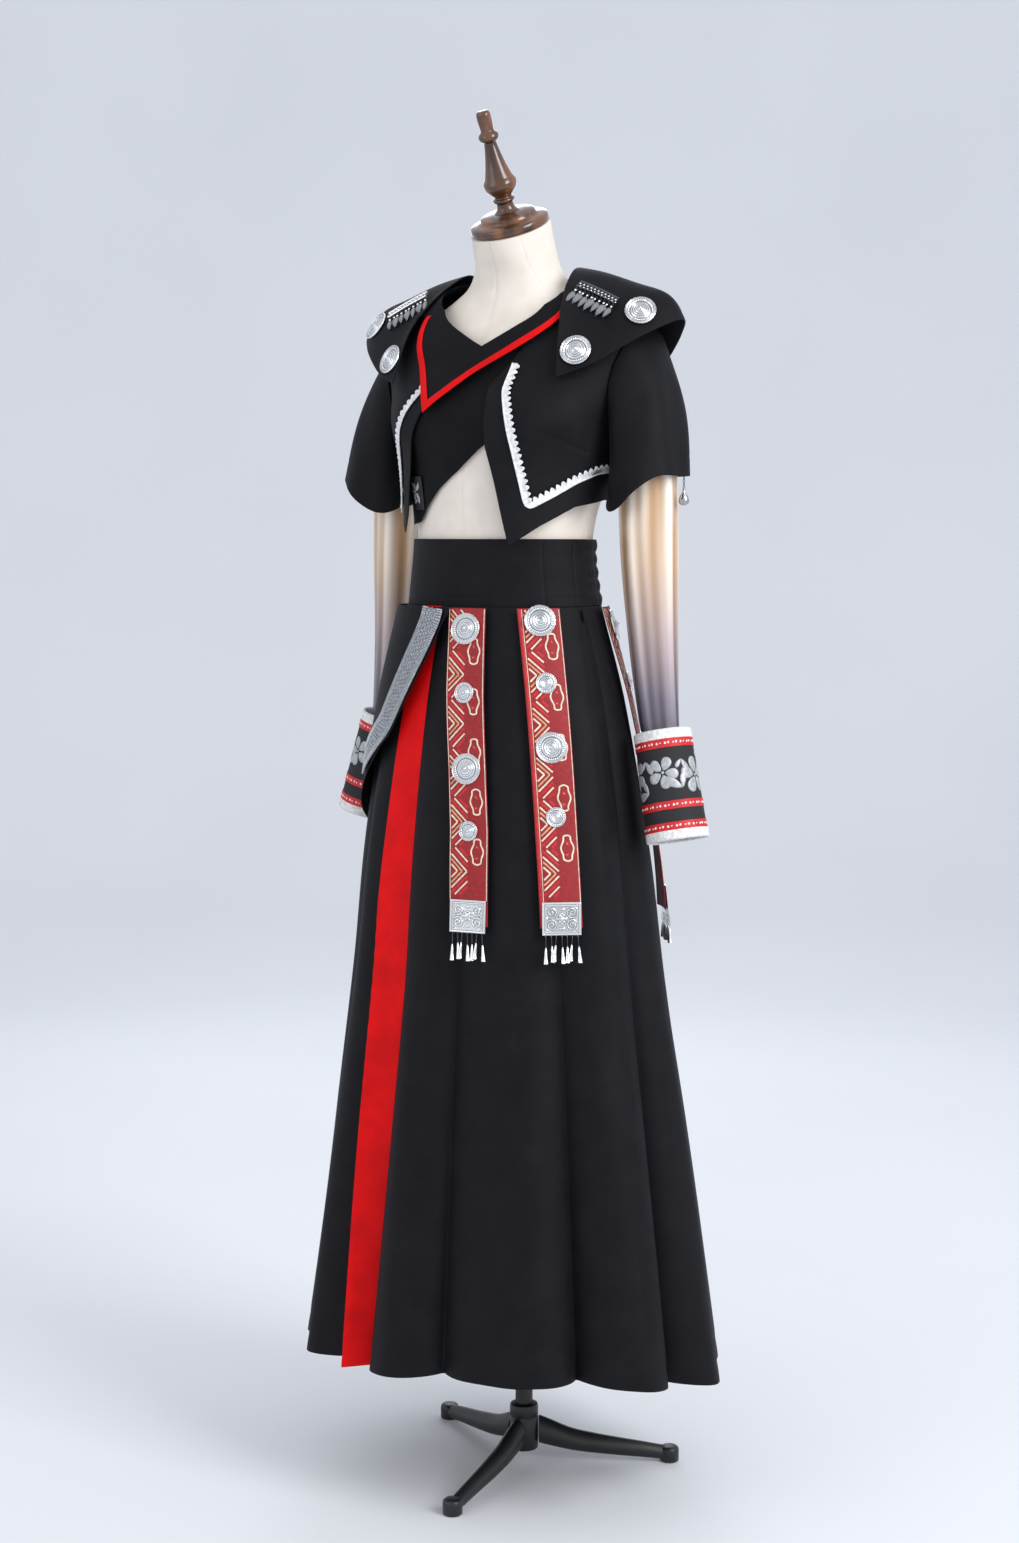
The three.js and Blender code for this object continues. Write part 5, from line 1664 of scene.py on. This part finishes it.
def cuff(word):
    surface = on_cuff(word)
    body, grid = cuff_band("cuff_ground_" + word, word, 0.8, CUFF_LENGTH - 0.8, 0, 2.2, cuff_black, rows=50)
    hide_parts("cuff_" + word)

    for name, start, end, out, material in (
        ("cuff_binding_top_", -0.4, 10, 1.0, white_binding),
        ("cuff_ribbon_top_", 10.2, 20.5, 0.7, cuff_red),
        ("cuff_ribbon_middle_", 84, 93.5, 0.7, cuff_red),
        ("cuff_ribbon_low_", 109, 118.2, 0.7, cuff_red),
        ("cuff_binding_low_", 118.4, CUFF_LENGTH + 0.4, 1.0, white_binding),
    ):
        wall = 3.6 if material is white_binding else 0.6
        band, _ = cuff_band(name + word, word, start, end, out, wall, material, rows=8)
    parts = []
    mm_angle = np.radians(1) * 35.5
    for angle, down, size, turn in CUFF_FLOWERS:
        parts += stitched(surface, (angle, down + 12), flower(size, turn), 0.75, mm_angle, 1.0)
    for angle, down, size, turn in CUFF_LEAVES:
        leaf = [petal(size, size * 0.42, turn), petal(size * 0.7, size * 0.3, turn + 70)]
        parts += stitched(surface, (angle, down + 8), leaf, 0.7, mm_angle, 1.0)
    points, faces = merged(parts)
    flowers = embroidery("cuff_flowers_" + word, points, faces, thread_silver)
    marks = []

    def on_band(angle, down, out=0.0):
        return surface(angle, down, np.asarray(out) + 0.7)

    for down in (15.4, 88.8, 113.6):
        for k in range(44):
            size = 3.2 if k % 3 else 2.2
            shape = [petal(size, size * 0.9, 90 + 40 * (k % 2), count=10)]
            marks += stitched(on_band, (k * 360 / 44, down - size / 2), shape, 0.45, mm_angle, 1.0)
    points, faces = merged(marks)
    white_marks = embroidery("cuff_ribbon_marks_" + word, points, faces, thread_white)
    as_sheet(body, grid, True)


cuff("left")
cuff("right")
print("undersleeves and cuffs made")

# %% Flowered patch on the crop top
PATCH_LEAVES = [(-43, 1216, 11, 20), (-35, 1215, 10, 100), (-34, 1241, 9, 250), (-44, 1242, 9, -60)]


def patch_piece():
    phi = np.linspace(-46, -30, 24)[None, :]
    z = np.linspace(1208, 1248, 30)[:, None]
    phi, z = np.broadcast_arrays(phi, z)
    grid = on_form(phi, z, 7.4)
    ground = cloth("flowered_patch", grid, cuff_black, 0.9)
    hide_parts("top_patch")

    def surface(across, up, out=0.0):
        return on_form(across, up, 7.4 + np.asarray(out, float))

    mm = np.radians(1) * 118
    shapes = stitched(surface, (-40, 1230), flower(17, 30), 0.6, mm, 1.0)
    for phi, z, size, turn in PATCH_LEAVES:
        shapes += stitched(surface, (phi, z), [petal(size, size * 0.45, turn)], 0.6, mm, 1.0)
    points, faces = merged(shapes)
    marks = embroidery("patch_flowers", points, faces, thread_silver)
    as_sheet(ground, grid)


patch_piece()

# %% [markdown]
# ## Brocade ribbons
#
# Each ribbon is a woven band whose pattern floats over the ground. Down one side run nested
# chevrons in cream and scarlet; down the other, small cloud shapes drawn with a cream line; a
# fine cream line edges both sides. Floats stand about 0.3 mm above the ground, so every figure
# here is a raised strip of thread and not paint.


# %% A surface that follows each ribbon
RIBBON_HALF, RIBBON_LOW, RIBBON_OUT = 23.5, 722, 7
RIBBON_LINES = {
    "front": [(722, 14), (832, 13.5), (904, 12), (992, 9.5), (1090, 7.5)],
    "left_front": [(722, 47), (1090, 47)],
    "left_side": [(722, 126), (832, 119), (950, 112), (1090, 110)],
}
BOSS_HEIGHTS = {
    "front": [1066, 992, 904, 832],
    "left_front": [1076, 1004, 930, 850],
    "left_side": [1068, 1000, 922, 845],
}
BOSS_RADII = [18.8, 12.4, 18.4, 11.8]


def on_ribbon(word):
    line = RIBBON_LINES[word]

    def surface(x, z, out=0.0):
        """x in mm across the ribbon from its middle, z in mm up."""
        x, z = np.broadcast_arrays(np.asarray(x, float), np.asarray(z, float))
        phi = through(line, z)
        step = skirt_point(phi + 0.5, z) - skirt_point(phi - 0.5, z)
        per_degree = np.linalg.norm(step, axis=-1)
        return on_skirt(phi + x / per_degree, z, RIBBON_OUT + 0.8 + np.asarray(out, float))

    return surface


def float_thread(surface, path, width, height, step=2.0):
    """A raised strip of thread along a path of (x, z) in mm."""
    places, alongs, acrosses, outs, s = walk(surface, path, step)
    share = np.linspace(-1, 1, 6)[None, :] * np.ones((len(s), 1))
    lift = height * np.sqrt(np.maximum(0, 1 - share**2)) - 0.15
    grid = strip_grid((places, alongs, acrosses, outs, s), share * width / 2, lift)
    return grid.reshape(-1, 3), grid_faces(grid.shape[0], grid.shape[1], False).tolist()


def clipped(a, b, low, high):
    """The part of the line from a to b whose x lies between low and high, or None."""
    a, b = np.array(a, float), np.array(b, float)
    if abs(b[0] - a[0]) < 1e-6:
        return (a, b) if low <= a[0] <= high else None
    t = sorted(((low - a[0]) / (b[0] - a[0]), (high - a[0]) / (b[0] - a[0])))
    t0, t1 = max(0, t[0]), min(1, t[1])
    return (a + (b - a) * t0, a + (b - a) * t1) if t1 - t0 > 0.04 else None


def chevrons(low, top, left, right, pitch=57.0, start=1070.0):
    """Nested chevrons that point to the right, as pairs of slanting bars."""
    cream, red, gold = [], [], []
    middle = start
    while middle > low - pitch:
        for k, reach in enumerate((7.5, 13.5, 19.5, 25.5, 31.5, 37.5)):
            for sign in (1, -1):
                corner = (left + reach, middle)
                far = (left - 20, middle + sign * (reach + 20))
                piece = clipped(corner, far, left, right)
                if piece is None:
                    continue
                limit = pitch / 2 - 1.5
                heights = [min(max(p[1], middle - limit), middle + limit) for p in piece]
                if abs(heights[1] - heights[0]) < 3:
                    continue
                wanted = clipped_height(piece, middle - limit, middle + limit, low, top)
                if wanted is None:
                    continue
                (gold if k == 1 else cream if k % 2 == 0 else red).append(wanted)
        middle -= pitch
    return cream, gold, red


def clipped_height(piece, low, high, bottom, top):
    """The same line kept between two heights, or None where too little is left."""
    low, high = max(low, bottom), min(high, top)
    turned = clipped(piece[0][::-1], piece[1][::-1], low, high)
    if turned is None or np.linalg.norm(turned[1] - turned[0]) < 3:
        return None
    return turned[0][::-1], turned[1][::-1]


def cloud(x, z, lean=1):
    """The outline of a cloud of three lobes, and the two curls inside it."""
    t = np.linspace(0, 2 * np.pi, 49)
    lobes = 1 + 0.30 * np.cos(3 * t + np.pi / 2 * lean) * np.sin(t) ** 2 + 0.16 * np.cos(6 * t)
    tall = 16.5 * np.sin(t) * (1 + 0.1 * np.cos(2 * t))
    outline = np.stack([x + 6.4 * np.cos(t) * lobes, z + tall], -1)
    curls = []
    for side, height in ((1, 6.4), (-1, -6.4)):
        a = np.linspace(0.2, 4.6, 18)
        r = 0.7 + 0.62 * a
        around_x, around_z = r * np.cos(a * side + 1), r * np.sin(a * side + 1)
        curls.append(np.stack([x + side * 0.6 + around_x, z + height + around_z], -1))
    return outline, curls


def ribbon(word, borders):
    node = "ribbon_" + word
    surface = on_ribbon(word)
    x = steps_with_edges(-RIBBON_HALF, RIBBON_HALF, 26, 0.01)[None, :]
    z = steps_with_edges(RIBBON_LOW, 1090, 150, 0.001)[:, None]
    x, z = np.broadcast_arrays(x, z)
    soft = 0.45 * np.sin(z * 0.035 + x * 0.05)
    grid = surface(x, z, soft)
    ground = cloth("brocade_ground_" + word, grid, brocade_red, 1.3)
    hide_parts(node)

    def over(a, b, out=0.0):
        return surface(a, b, 0.45 * np.sin(b * 0.035 + a * 0.05) + np.asarray(out, float))

    left, right = -RIBBON_HALF + 1.6 + borders, -0.5
    cream, gold, red = chevrons(RIBBON_LOW + 34, 1088, left + 1.0, right)
    lines = {thread_cream: [], thread_gold: [], thread_scarlet: []}
    floats = ((thread_cream, cream, 2.3), (thread_gold, gold, 2.3), (thread_scarlet, red, 3.2))
    for material, bars, width in floats:
        lines[material] += [float_thread(over, bar, width, 0.42) for bar in bars]
    edges = [(-RIBBON_HALF + 0.9 + borders, 1.0), (RIBBON_HALF - 1.0, 1.1)]
    for place, width in edges:
        line = [(place, RIBBON_LOW + 30), (place, 1089)]
        lines[thread_cream].append(float_thread(over, line, width, 0.5, 4))
    if borders:
        middle = -RIBBON_HALF + 0.4 + borders / 2
        lines[thread_scarlet].append(
            float_thread(over, [(middle, RIBBON_LOW + 2), (middle, 1089)], borders - 0.6, 0.5, 4)
        )
    height, lean = 1040.0 if word != "left_front" else 1046.0, 1
    while height > RIBBON_LOW + 46:
        outline, curls = cloud(10.8, height, lean)
        lines[thread_cream].append(float_thread(over, outline, 2.2, 0.5, 1.2))
        for curl in curls:
            lines[thread_scarlet].append(float_thread(over, curl, 1.5, 0.55, 1.0))
            small = curl * 0.35 + np.array([10.8, curl[:, 1].mean()]) * 0.65
            lines[thread_gold].append(float_thread(over, small, 0.9, 0.5, 1.0))
        height -= 58
        lean = -lean
    for material, parts in lines.items():
        points, faces = merged(parts)
        name = material.name + "_" + word
        new_piece(name, points, faces, material, smooth_angle=80)
    as_sheet(ground, grid)


ribbon("front", 0)
ribbon("left_front", 3.6)
ribbon("left_side", 0)
print("ribbons woven")

# %% [markdown]
# ## Stamped silver
#
# A boss is a disc of thin sheet pressed in a round die: a flat milled rim, a ring of beads, two
# smooth rings, and a cone that rises to a small round tip. It is made the way the die is cut, as
# a height that depends on how far from the middle a point is, with teeth and beads round it.


# %% Bosses
def boss_height(share, turn, radius):
    """Height of the stamped face; share is 0 at the middle and 1 at the rim."""
    cone = 0.27 * radius * (1 - np.clip(share / 0.66, 0, 1)) ** 1.25
    tip = 0.05 * radius * hump(share, 0, 0.09)
    rings = 0.030 * radius * (hump(share, 0.30, 0.035) + hump(share, 0.44, 0.03) + hump(share, 0.56, 0.03))
    fine = 0.007 * radius * np.sin(share * 2 * np.pi * 22) * soft_step(share, 0.16, 0.3)
    moat = -0.03 * radius * hump(share, 0.66, 0.035)
    count = int(round(radius * 1.9))
    beads = 0.05 * radius * hump(share, 0.76, 0.05) * (0.55 + 0.45 * np.cos(turn * count))
    mill = 0.028 * radius * soft_step(share, 0.84, 0.87) * (1 - soft_step(share, 0.94, 0.99))
    mill = mill * (0.6 + 0.4 * np.cos(turn * count * 2))
    rolled = 0.035 * radius * hump(share, 0.975, 0.025)
    return 0.06 * radius + cone + tip + rings + moat + beads + mill + rolled + fine


def boss(name, node, radius, place, axes, body="root"):
    """A boss at a place; axes are its across, up and out directions."""
    across, up, out = (np.array(a, float) for a in axes)
    shares = np.concatenate([np.linspace(0.02, 0.9, 46), np.linspace(0.915, 1.0, 8)])
    turn = np.linspace(0, 2 * np.pi, 128, endpoint=False)
    share, angle = np.meshgrid(shares, turn, indexing="ij")
    reach = radius * share * (1 + 0.006 * np.cos(angle * 24) * (share > 0.97))
    height = boss_height(share, angle, radius)
    height[-1] = 0.25
    grid = (
        place
        + across * (reach * np.cos(angle))[..., None]
        + up * (reach * np.sin(angle))[..., None]
        + out * height[..., None]
    )
    foot = radius * 0.97
    under = place + across * (foot * np.cos(turn))[:, None] + up * (foot * np.sin(turn))[:, None]
    tip = place + out * boss_height(np.array(0.0), np.array(0.0), radius)
    points = np.concatenate([grid.reshape(-1, 3), under, [tip, place]])
    m, n = len(shares) + 1, len(turn)
    faces = grid_faces(m, n, True, 0, True).tolist()
    top, base = m * n, m * n + 1
    for i in range(n):
        k = (i + 1) % n
        faces.append([i, k, top])
        faces.append([(m - 1) * n + k, (m - 1) * n + i, base])
    piece = new_piece(name, points, faces, silver, body, smooth_angle=50)
    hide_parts(node)
    return piece


for word in RIBBON_LINES:
    surface = on_ribbon(word)
    for i, (height, radius) in enumerate(zip(BOSS_HEIGHTS[word], BOSS_RADII)):
        place, across, up, out = frame_on(surface, 0.0, float(height))
        node = "boss_ribbon_%s_%d" % (word, i + 1)
        boss("silver_" + node, node, radius, place + out * 0.4, (across, up, out))

# %% [markdown]
# ### Plates, wires and cones
#
# The plate at a ribbon's foot is stamped with a beaded frame and scrolling leaves. Seven small
# cones of rolled sheet hang from it, each on a loop of wire.


# %% Ribbon ends
PLATE_WIDTH, PLATE_HEIGHT, CONE_COUNT = 45.5, 38.0, 7


def ring_of_wire(centre, axis_a, axis_b, radius, wire, steps=16, round_steps=8, stretch=1.0):
    """A closed loop of round wire in the plane of axis_a and axis_b."""
    turn = np.linspace(0, 2 * np.pi, steps, endpoint=False)
    a, b = np.array(axis_a, float), np.array(axis_b, float)
    centres = centre + a * (radius * np.cos(turn))[:, None] + b * (radius * stretch * np.sin(turn))[:, None]
    sides = unit(a * np.cos(turn)[:, None] + b * np.sin(turn)[:, None])
    ups = np.broadcast_to(unit(np.cross(a, b)), sides.shape)
    return closed_tube(centres, ups, sides, wire, round_steps, 1.0, True)


def on_axes(profile, segments, place, across, up, out):
    """A turned profile whose axis points down from place."""
    points, faces = turned(profile, segments)
    local = np.stack([across, out, -np.array(up)], axis=0)
    return points @ local + place, faces


def plate_height(x, z):
    """The stamped face: a frame, a fine line inside it, and four scrolls and leaves round a flower."""
    u, w = np.abs(x) / (PLATE_WIDTH / 2), np.abs(z) / (PLATE_HEIGHT / 2)
    border = np.maximum(u, w)
    frame = 0.55 * hump(border, 0.93, 0.045)
    line = 0.35 * hump(border, 0.82, 0.03)
    r = np.hypot(x, z)
    angle = np.arctan2(z, x)
    rose = 0.7 * soft_step(np.cos(angle * 6) * 1.2 + 5.2 - r, 0, 1.2) + 0.5 * hump(r, 0, 1.3)
    cx, cz = np.abs(x) - 12.0, np.abs(z) - 7.4
    rr, aa = np.hypot(cx, cz), np.arctan2(cz, cx)
    scroll = 0.6 * soft_step(np.cos(rr * 1.75 - aa), 0.05, 0.55) * soft_step(7.6 - rr, 0, 1.0)
    leaf = 0.45 * soft_step(np.cos(r * 1.1) * np.cos(angle * 4), 0.3, 0.7) * soft_step(rr, 7.2, 8.2)
    inside = soft_step(0.80 - border, 0, 0.03)
    return 0.9 + 1.5 * (frame + line + np.maximum(rose, np.maximum(scroll, leaf)) * inside)


def ribbon_end(word):
    surface = on_ribbon(word)
    middle = RIBBON_LOW + PLATE_HEIGHT / 2 - 8
    place, across, up, out = frame_on(surface, 0.0, middle)
    place = place + out * 0.5
    x = np.linspace(-PLATE_WIDTH / 2, PLATE_WIDTH / 2, 118)[None, :]
    z = np.linspace(-PLATE_HEIGHT / 2, PLATE_HEIGHT / 2, 100)[:, None]
    x, z = np.broadcast_arrays(x, z)
    grid = place + across * x[..., None] + up * z[..., None] + out * plate_height(x, z)[..., None]
    m, n = x.shape
    index = np.arange(m * n).reshape(m, n)
    loop = np.concatenate([index[0, :-1], index[:-1, -1], index[-1, :0:-1], index[:0:-1, 0]])
    back = grid.reshape(-1, 3)[loop]
    back = back - out * ((back - place) @ out)[:, None]
    points = np.concatenate([grid.reshape(-1, 3), back])
    faces = grid_faces(m, n, False).tolist()
    count = len(loop)
    for i in range(count):
        k = (i + 1) % count
        faces.append([loop[k], loop[i], m * n + i, m * n + k])
    faces.append([m * n + i for i in range(count)][::-1])
    plate = new_piece("silver_plate_" + word, points, faces, silver, smooth_angle=35)
    parts = []
    low = place - up * PLATE_HEIGHT / 2 + out * 0.9
    reach = PLATE_WIDTH / 2 - 4
    down = np.array([0.0, 0.0, -1.0])
    for i, offset in enumerate(np.linspace(-reach, reach, CONE_COUNT)):
        top = low + across * offset + up * 1.0
        sway = math.radians(5 * math.sin(i * 2.3))
        along = unit(down * math.cos(sway) + across * math.sin(sway) + out * 0.04)
        parts.append(ring_of_wire(top + along * 0.8, across, along, 1.3, 0.28))
        long = 12.5 + 1.5 * math.cos(i * 1.9)
        parts.append(ring_of_wire(top + along * (2.0 + long / 2), out, along, 0.75, 0.3, 24, 6, long / 1.5))
        cone = [(0, -0.2), (0.95, 0), (1.15, 0.8), (0.9, 1.4), (1.25, 2.2), (1.9, 9), (2.75, 17.4)]
        cone += [(3.15, 18.3), (2.95, 18.9), (2.3, 18.4), (0, 16.5)]
        axes = (across, -along, unit(np.cross(across, -along)))
        parts.append(on_axes(cone, 18, top + along * (1.6 + long), *axes))
    points, faces = merged(parts)
    new_piece("silver_cones_" + word, points, faces, silver, smooth_angle=40)
    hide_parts("end_ribbon_" + word)


for word in RIBBON_LINES:
    ribbon_end(word)
print("ribbon silver made")

# %% [markdown]
# ### Shoulder bosses and brooches
#
# Each flap carries two bosses and a brooch: a filigree bar with a row of thin stamped leaves,
# hung on wire loops, that lie on the cloth like a fringe.


# %% Shoulder silver
def flap_frame(side, s, t):
    surface = on_flap(side)
    place = surface(s, t, 0.0)
    out = unit(surface(s, t, 1.0) - place)
    along = unit(surface(s + 0.01, t, 0.0) - surface(s - 0.01, t, 0.0)) * side
    across = unit(along - out * float(along @ out))
    return place, across, unit(np.cross(out, across)), out


def leaf_shape(length, width, thick):
    """A thin pointed leaf with a midrib, hung from the origin and pointing along -up."""
    s = np.linspace(0, 1, 16)
    half = width / 2 * np.sin(np.pi * s**0.75) ** 0.8 * (1 - 0.15 * s) + 0.12
    turn = np.linspace(0, 2 * np.pi, 12, endpoint=False)
    ridge = np.where(np.sin(turn) > 0, np.abs(np.sin(turn)) ** 1.6, -np.abs(np.sin(turn)))
    x = half[:, None] * np.cos(turn)[None, :]
    y = thick * (0.3 + 0.7 * np.sin(np.pi * s) ** 0.5)[:, None] * ridge[None, :]
    z = np.broadcast_to(s[:, None] * length, x.shape)
    grid = np.stack([x, y, z], -1)
    m, n = x.shape
    faces = grid_faces(m, n, True).tolist() + [list(range(n))[::-1], [(m - 1) * n + i for i in range(n)]]
    return grid.reshape(-1, 3), faces


def brooch(side, word):
    surface = on_flap(side)
    start, end = surface(0.28, 0.2, 5.0), surface(0.33, 0.75, 5.0)
    place = surface(0.3, 0.47, 0.0)
    out = flap_frame(side, 0.24, 0.47)[3]
    along = unit(end - start)
    out = unit(out - along * float(out @ along))
    away = unit(np.cross(out, along))
    front = np.array([0.0, -1.0, 0.0])
    if away @ front < 0:
        away = -away
    centre = place + out * 5.5
    parts = []
    for offset, wide in ((3.8, 1.3), (-3.8, 1.3), (0.0, 0.9)):
        s = np.linspace(-30, 30, 61)
        curve = 1.2 * np.cos(s / 30 * np.pi / 2)
        centres = centre + along * s[:, None] + away * (offset - curve)[:, None]
        sides = np.broadcast_to(away, centres.shape)
        ups = np.broadcast_to(out, centres.shape)
        parts.append(closed_tube(centres, ups, sides, wide, 8))
    for k in range(11):
        s = -27.5 + 5.5 * k
        curve = 1.2 * math.cos(s / 30 * math.pi / 2)
        middle = centre + along * s - away * curve + out * 0.3
        parts.append(ring_of_wire(middle, along, away, 2.1, 0.5, 18, 7, 1.15))
        ball_points, ball_faces = bead_ball(10, 6)
        parts.append((ball_points * 1.15 + middle + out * 0.4, ball_faces))
        parts.append((ball_points * 0.9 + middle + along * 2.7 + away * 3.4 + out * 0.7, ball_faces))
    low = 1.4
    for k in range(10):
        s = -28 + 56 / 9 * k
        hang = centre + along * s + away * 4.4 - out * low
        parts.append(ring_of_wire(hang + away * 1.6, away, out, 1.7, 0.32, 16, 7))
        turn = math.radians(9 * math.sin(k * 2.1))
        heading = unit(away * math.cos(turn) + along * math.sin(turn) - out * 0.10)
        across = unit(np.cross(heading, out))
        lift = unit(np.cross(across, heading))
        if lift @ out < 0:
            lift = -lift
        drop_points, drop_faces = leaf_shape(17.5 + 1.5 * math.cos(k * 1.7), 8.2, 1.4)
        bead_points, bead_faces = bead_ball(10, 6)
        link = hang + heading * 5.0
        parts.append((bead_points * (1.5, 1.5, 1.5) + link, bead_faces))
        parts.append(ring_of_wire(hang + heading * 3.2, heading, across, 1.5, 0.3, 14, 6))
        local = np.stack([across, lift, heading], axis=0)
        parts.append((drop_points @ local + hang + heading * 6.2, drop_faces))
    points, faces = merged(parts)
    piece = new_piece("silver_brooch_" + word, points, faces, silver, smooth_angle=50)
    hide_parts("brooch_" + word)


for side, word in ((1, "left"), (-1, "right")):
    for share, down, end in ((0.1, 0.82, "front"), (0.36, 0.88, "tip")):
        place, across, up, out = flap_frame(side, share, down)
        node = "boss_flap_%s_%s" % (word, end)
        boss("silver_" + node, node, 18.5, place + out * 1.2, (across, up, out))
    brooch(side, word)


# %% [markdown]
# ### Pear drops at the sleeve hems
#
# A hollow silver pear hangs on a short chain at the outside of each sleeve's hem. It swings
# fore and aft, so it is a body of its own, hinged where its top ring passes the sleeve's ring.


# %% Pear drops
HOOKS = {1: (226.0, -2.0, 1245.5), -1: (-244.0, 14.0, 1245.5)}


def pear_drop(side, word):
    hook = np.array(HOOKS[side])
    down = np.array([0.0, 0.0, -1.0])
    x, y = np.array([1.0, 0.0, 0.0]), np.array([0.0, 1.0, 0.0])
    parts = [ring_of_wire(hook + down * 1.9, y, down, 1.5, 0.42, 20, 8, 1.2)]
    parts.append(ring_of_wire(hook + down * 5.2, x, down, 1.3, 0.4, 20, 8, 1.35))
    parts.append(ring_of_wire(hook + down * 8.6, y, down, 1.3, 0.4, 20, 8, 1.35))
    parts.append(ring_of_wire(hook + down * 12.0, x, down, 1.3, 0.4, 20, 8, 1.35))
    pear = [(0, 13.0), (1.1, 13.0), (1.7, 13.6), (1.2, 14.4), (1.9, 15.2), (2.2, 16.0), (1.9, 16.8)]
    pear += [(3.0, 19.5), (4.6, 22.5), (5.8, 25.5), (6.15, 28.0), (5.6, 30.6), (4.2, 32.4), (2.4, 33.4)]
    pear += [(1.2, 33.9), (0, 34.0)]
    parts.append(on_axes(smooth_profile(pear, 3), 40, hook, x, -down, y))
    points, faces = merged(parts)
    name, body = "silver_pear_" + word, "drop_" + word
    piece = new_piece(name, points, faces, silver, body, smooth_angle=60)
    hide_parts("sleeve_drop_" + word)


pear_drop(1, "left")
pear_drop(-1, "right")

# %% [markdown]
# ## Floor, light and camera

# %% Stage
def stage():
    floor = bpy.data.meshes.new("studio_sweep")
    x = np.linspace(-9, 9, 2)
    curve = [(3.0 + 2.5 * math.sin(a), 2.5 - 2.5 * math.cos(a)) for a in np.linspace(0, math.pi / 2, 24)]
    run = np.array([(-7.0, 0.0), *curve, (5.5, 9.0)])
    spin = Matrix.Rotation(math.radians(34), 3, "Z")
    points, faces = [], []
    for px in x:
        for py, pz in run:
            p = spin @ Vector((px, py, 0))
            points.append((p.x + POLE_X, p.y + POLE_Y, pz - 0.0005))
    n = len(run)
    for i in range(n - 1):
        faces.append((i, i + 1, n + i + 1, n + i))
    floor.from_pydata(points, [], [f[::-1] for f in faces])
    floor.polygons.foreach_set("use_smooth", [True] * len(faces))
    sweep = bpy.data.objects.new("studio_sweep", floor)
    bpy.context.scene.collection.objects.link(sweep)
    material, tree, shader = new_material("pale_paper", {"Roughness": 0.9})
    shade = soft_noise(tree, 900, 2.0)
    tree.links.new(ramp(tree, shade, [(0.3, "#dcdfe5"), (0.7, "#e0e3e8")]), shader.inputs["Base Color"])
    floor.materials.append(material)


stage()
world = bpy.data.worlds.new("soft_studio")
world.use_nodes = True
world.node_tree.nodes["Background"].inputs["Color"].default_value = linear("#eceef2")
world.node_tree.nodes["Background"].inputs["Strength"].default_value = 0.98
bpy.context.scene.world = world
bpy.context.scene.view_settings.view_transform = "Standard"


def soft_box(name, place, size, power, colour="#ffffff"):
    light = bpy.data.lights.new(name, "AREA")
    light.shape = "RECTANGLE"
    light.size, light.size_y = size
    light.energy = power
    light.color = linear(colour)[:3]
    lamp = bpy.data.objects.new(name, light)
    lamp.location = Vector(place) + Vector((POLE_X, POLE_Y, 0))
    aim = Vector((POLE_X, POLE_Y, 0.95)) - lamp.location
    lamp.rotation_euler = aim.to_track_quat("-Z", "Y").to_euler()
    bpy.context.scene.collection.objects.link(lamp)


def around(azimuth, distance, height):
    """A place seen from the front turned by azimuth towards the wearer's left."""
    a = math.radians(azimuth)
    return (distance * math.sin(a), -distance * math.cos(a), height)


soft_box("key", around(80, 3.0, 2.5), (1.3, 2.2), 78)
soft_box("fill", around(-20, 3.4, 1.9), (2.0, 2.4), 16)
soft_box("back", around(215, 2.8, 2.2), (1.2, 2.0), 18)

CAMERA_TURN, CAMERA_FAR, CAMERA_UP, CAMERA_SIDE, CAMERA_PITCH = 34, 3.0, 1.181, -0.0185, 5.63
turn = math.radians(CAMERA_TURN)
back = Vector((math.sin(turn), -math.cos(turn), 0))
right = Vector((math.cos(turn), math.sin(turn), 0))
lens = bpy.data.cameras.new("camera")
lens.sensor_width = 36
lens.lens = 56.7
camera = bpy.data.objects.new("camera", lens)
camera.location = back * CAMERA_FAR + right * CAMERA_SIDE + Vector((POLE_X, POLE_Y, CAMERA_UP))
camera.rotation_euler = (math.radians(90 - CAMERA_PITCH), 0, turn)
bpy.context.scene.collection.objects.link(camera)
bpy.context.scene.camera = camera
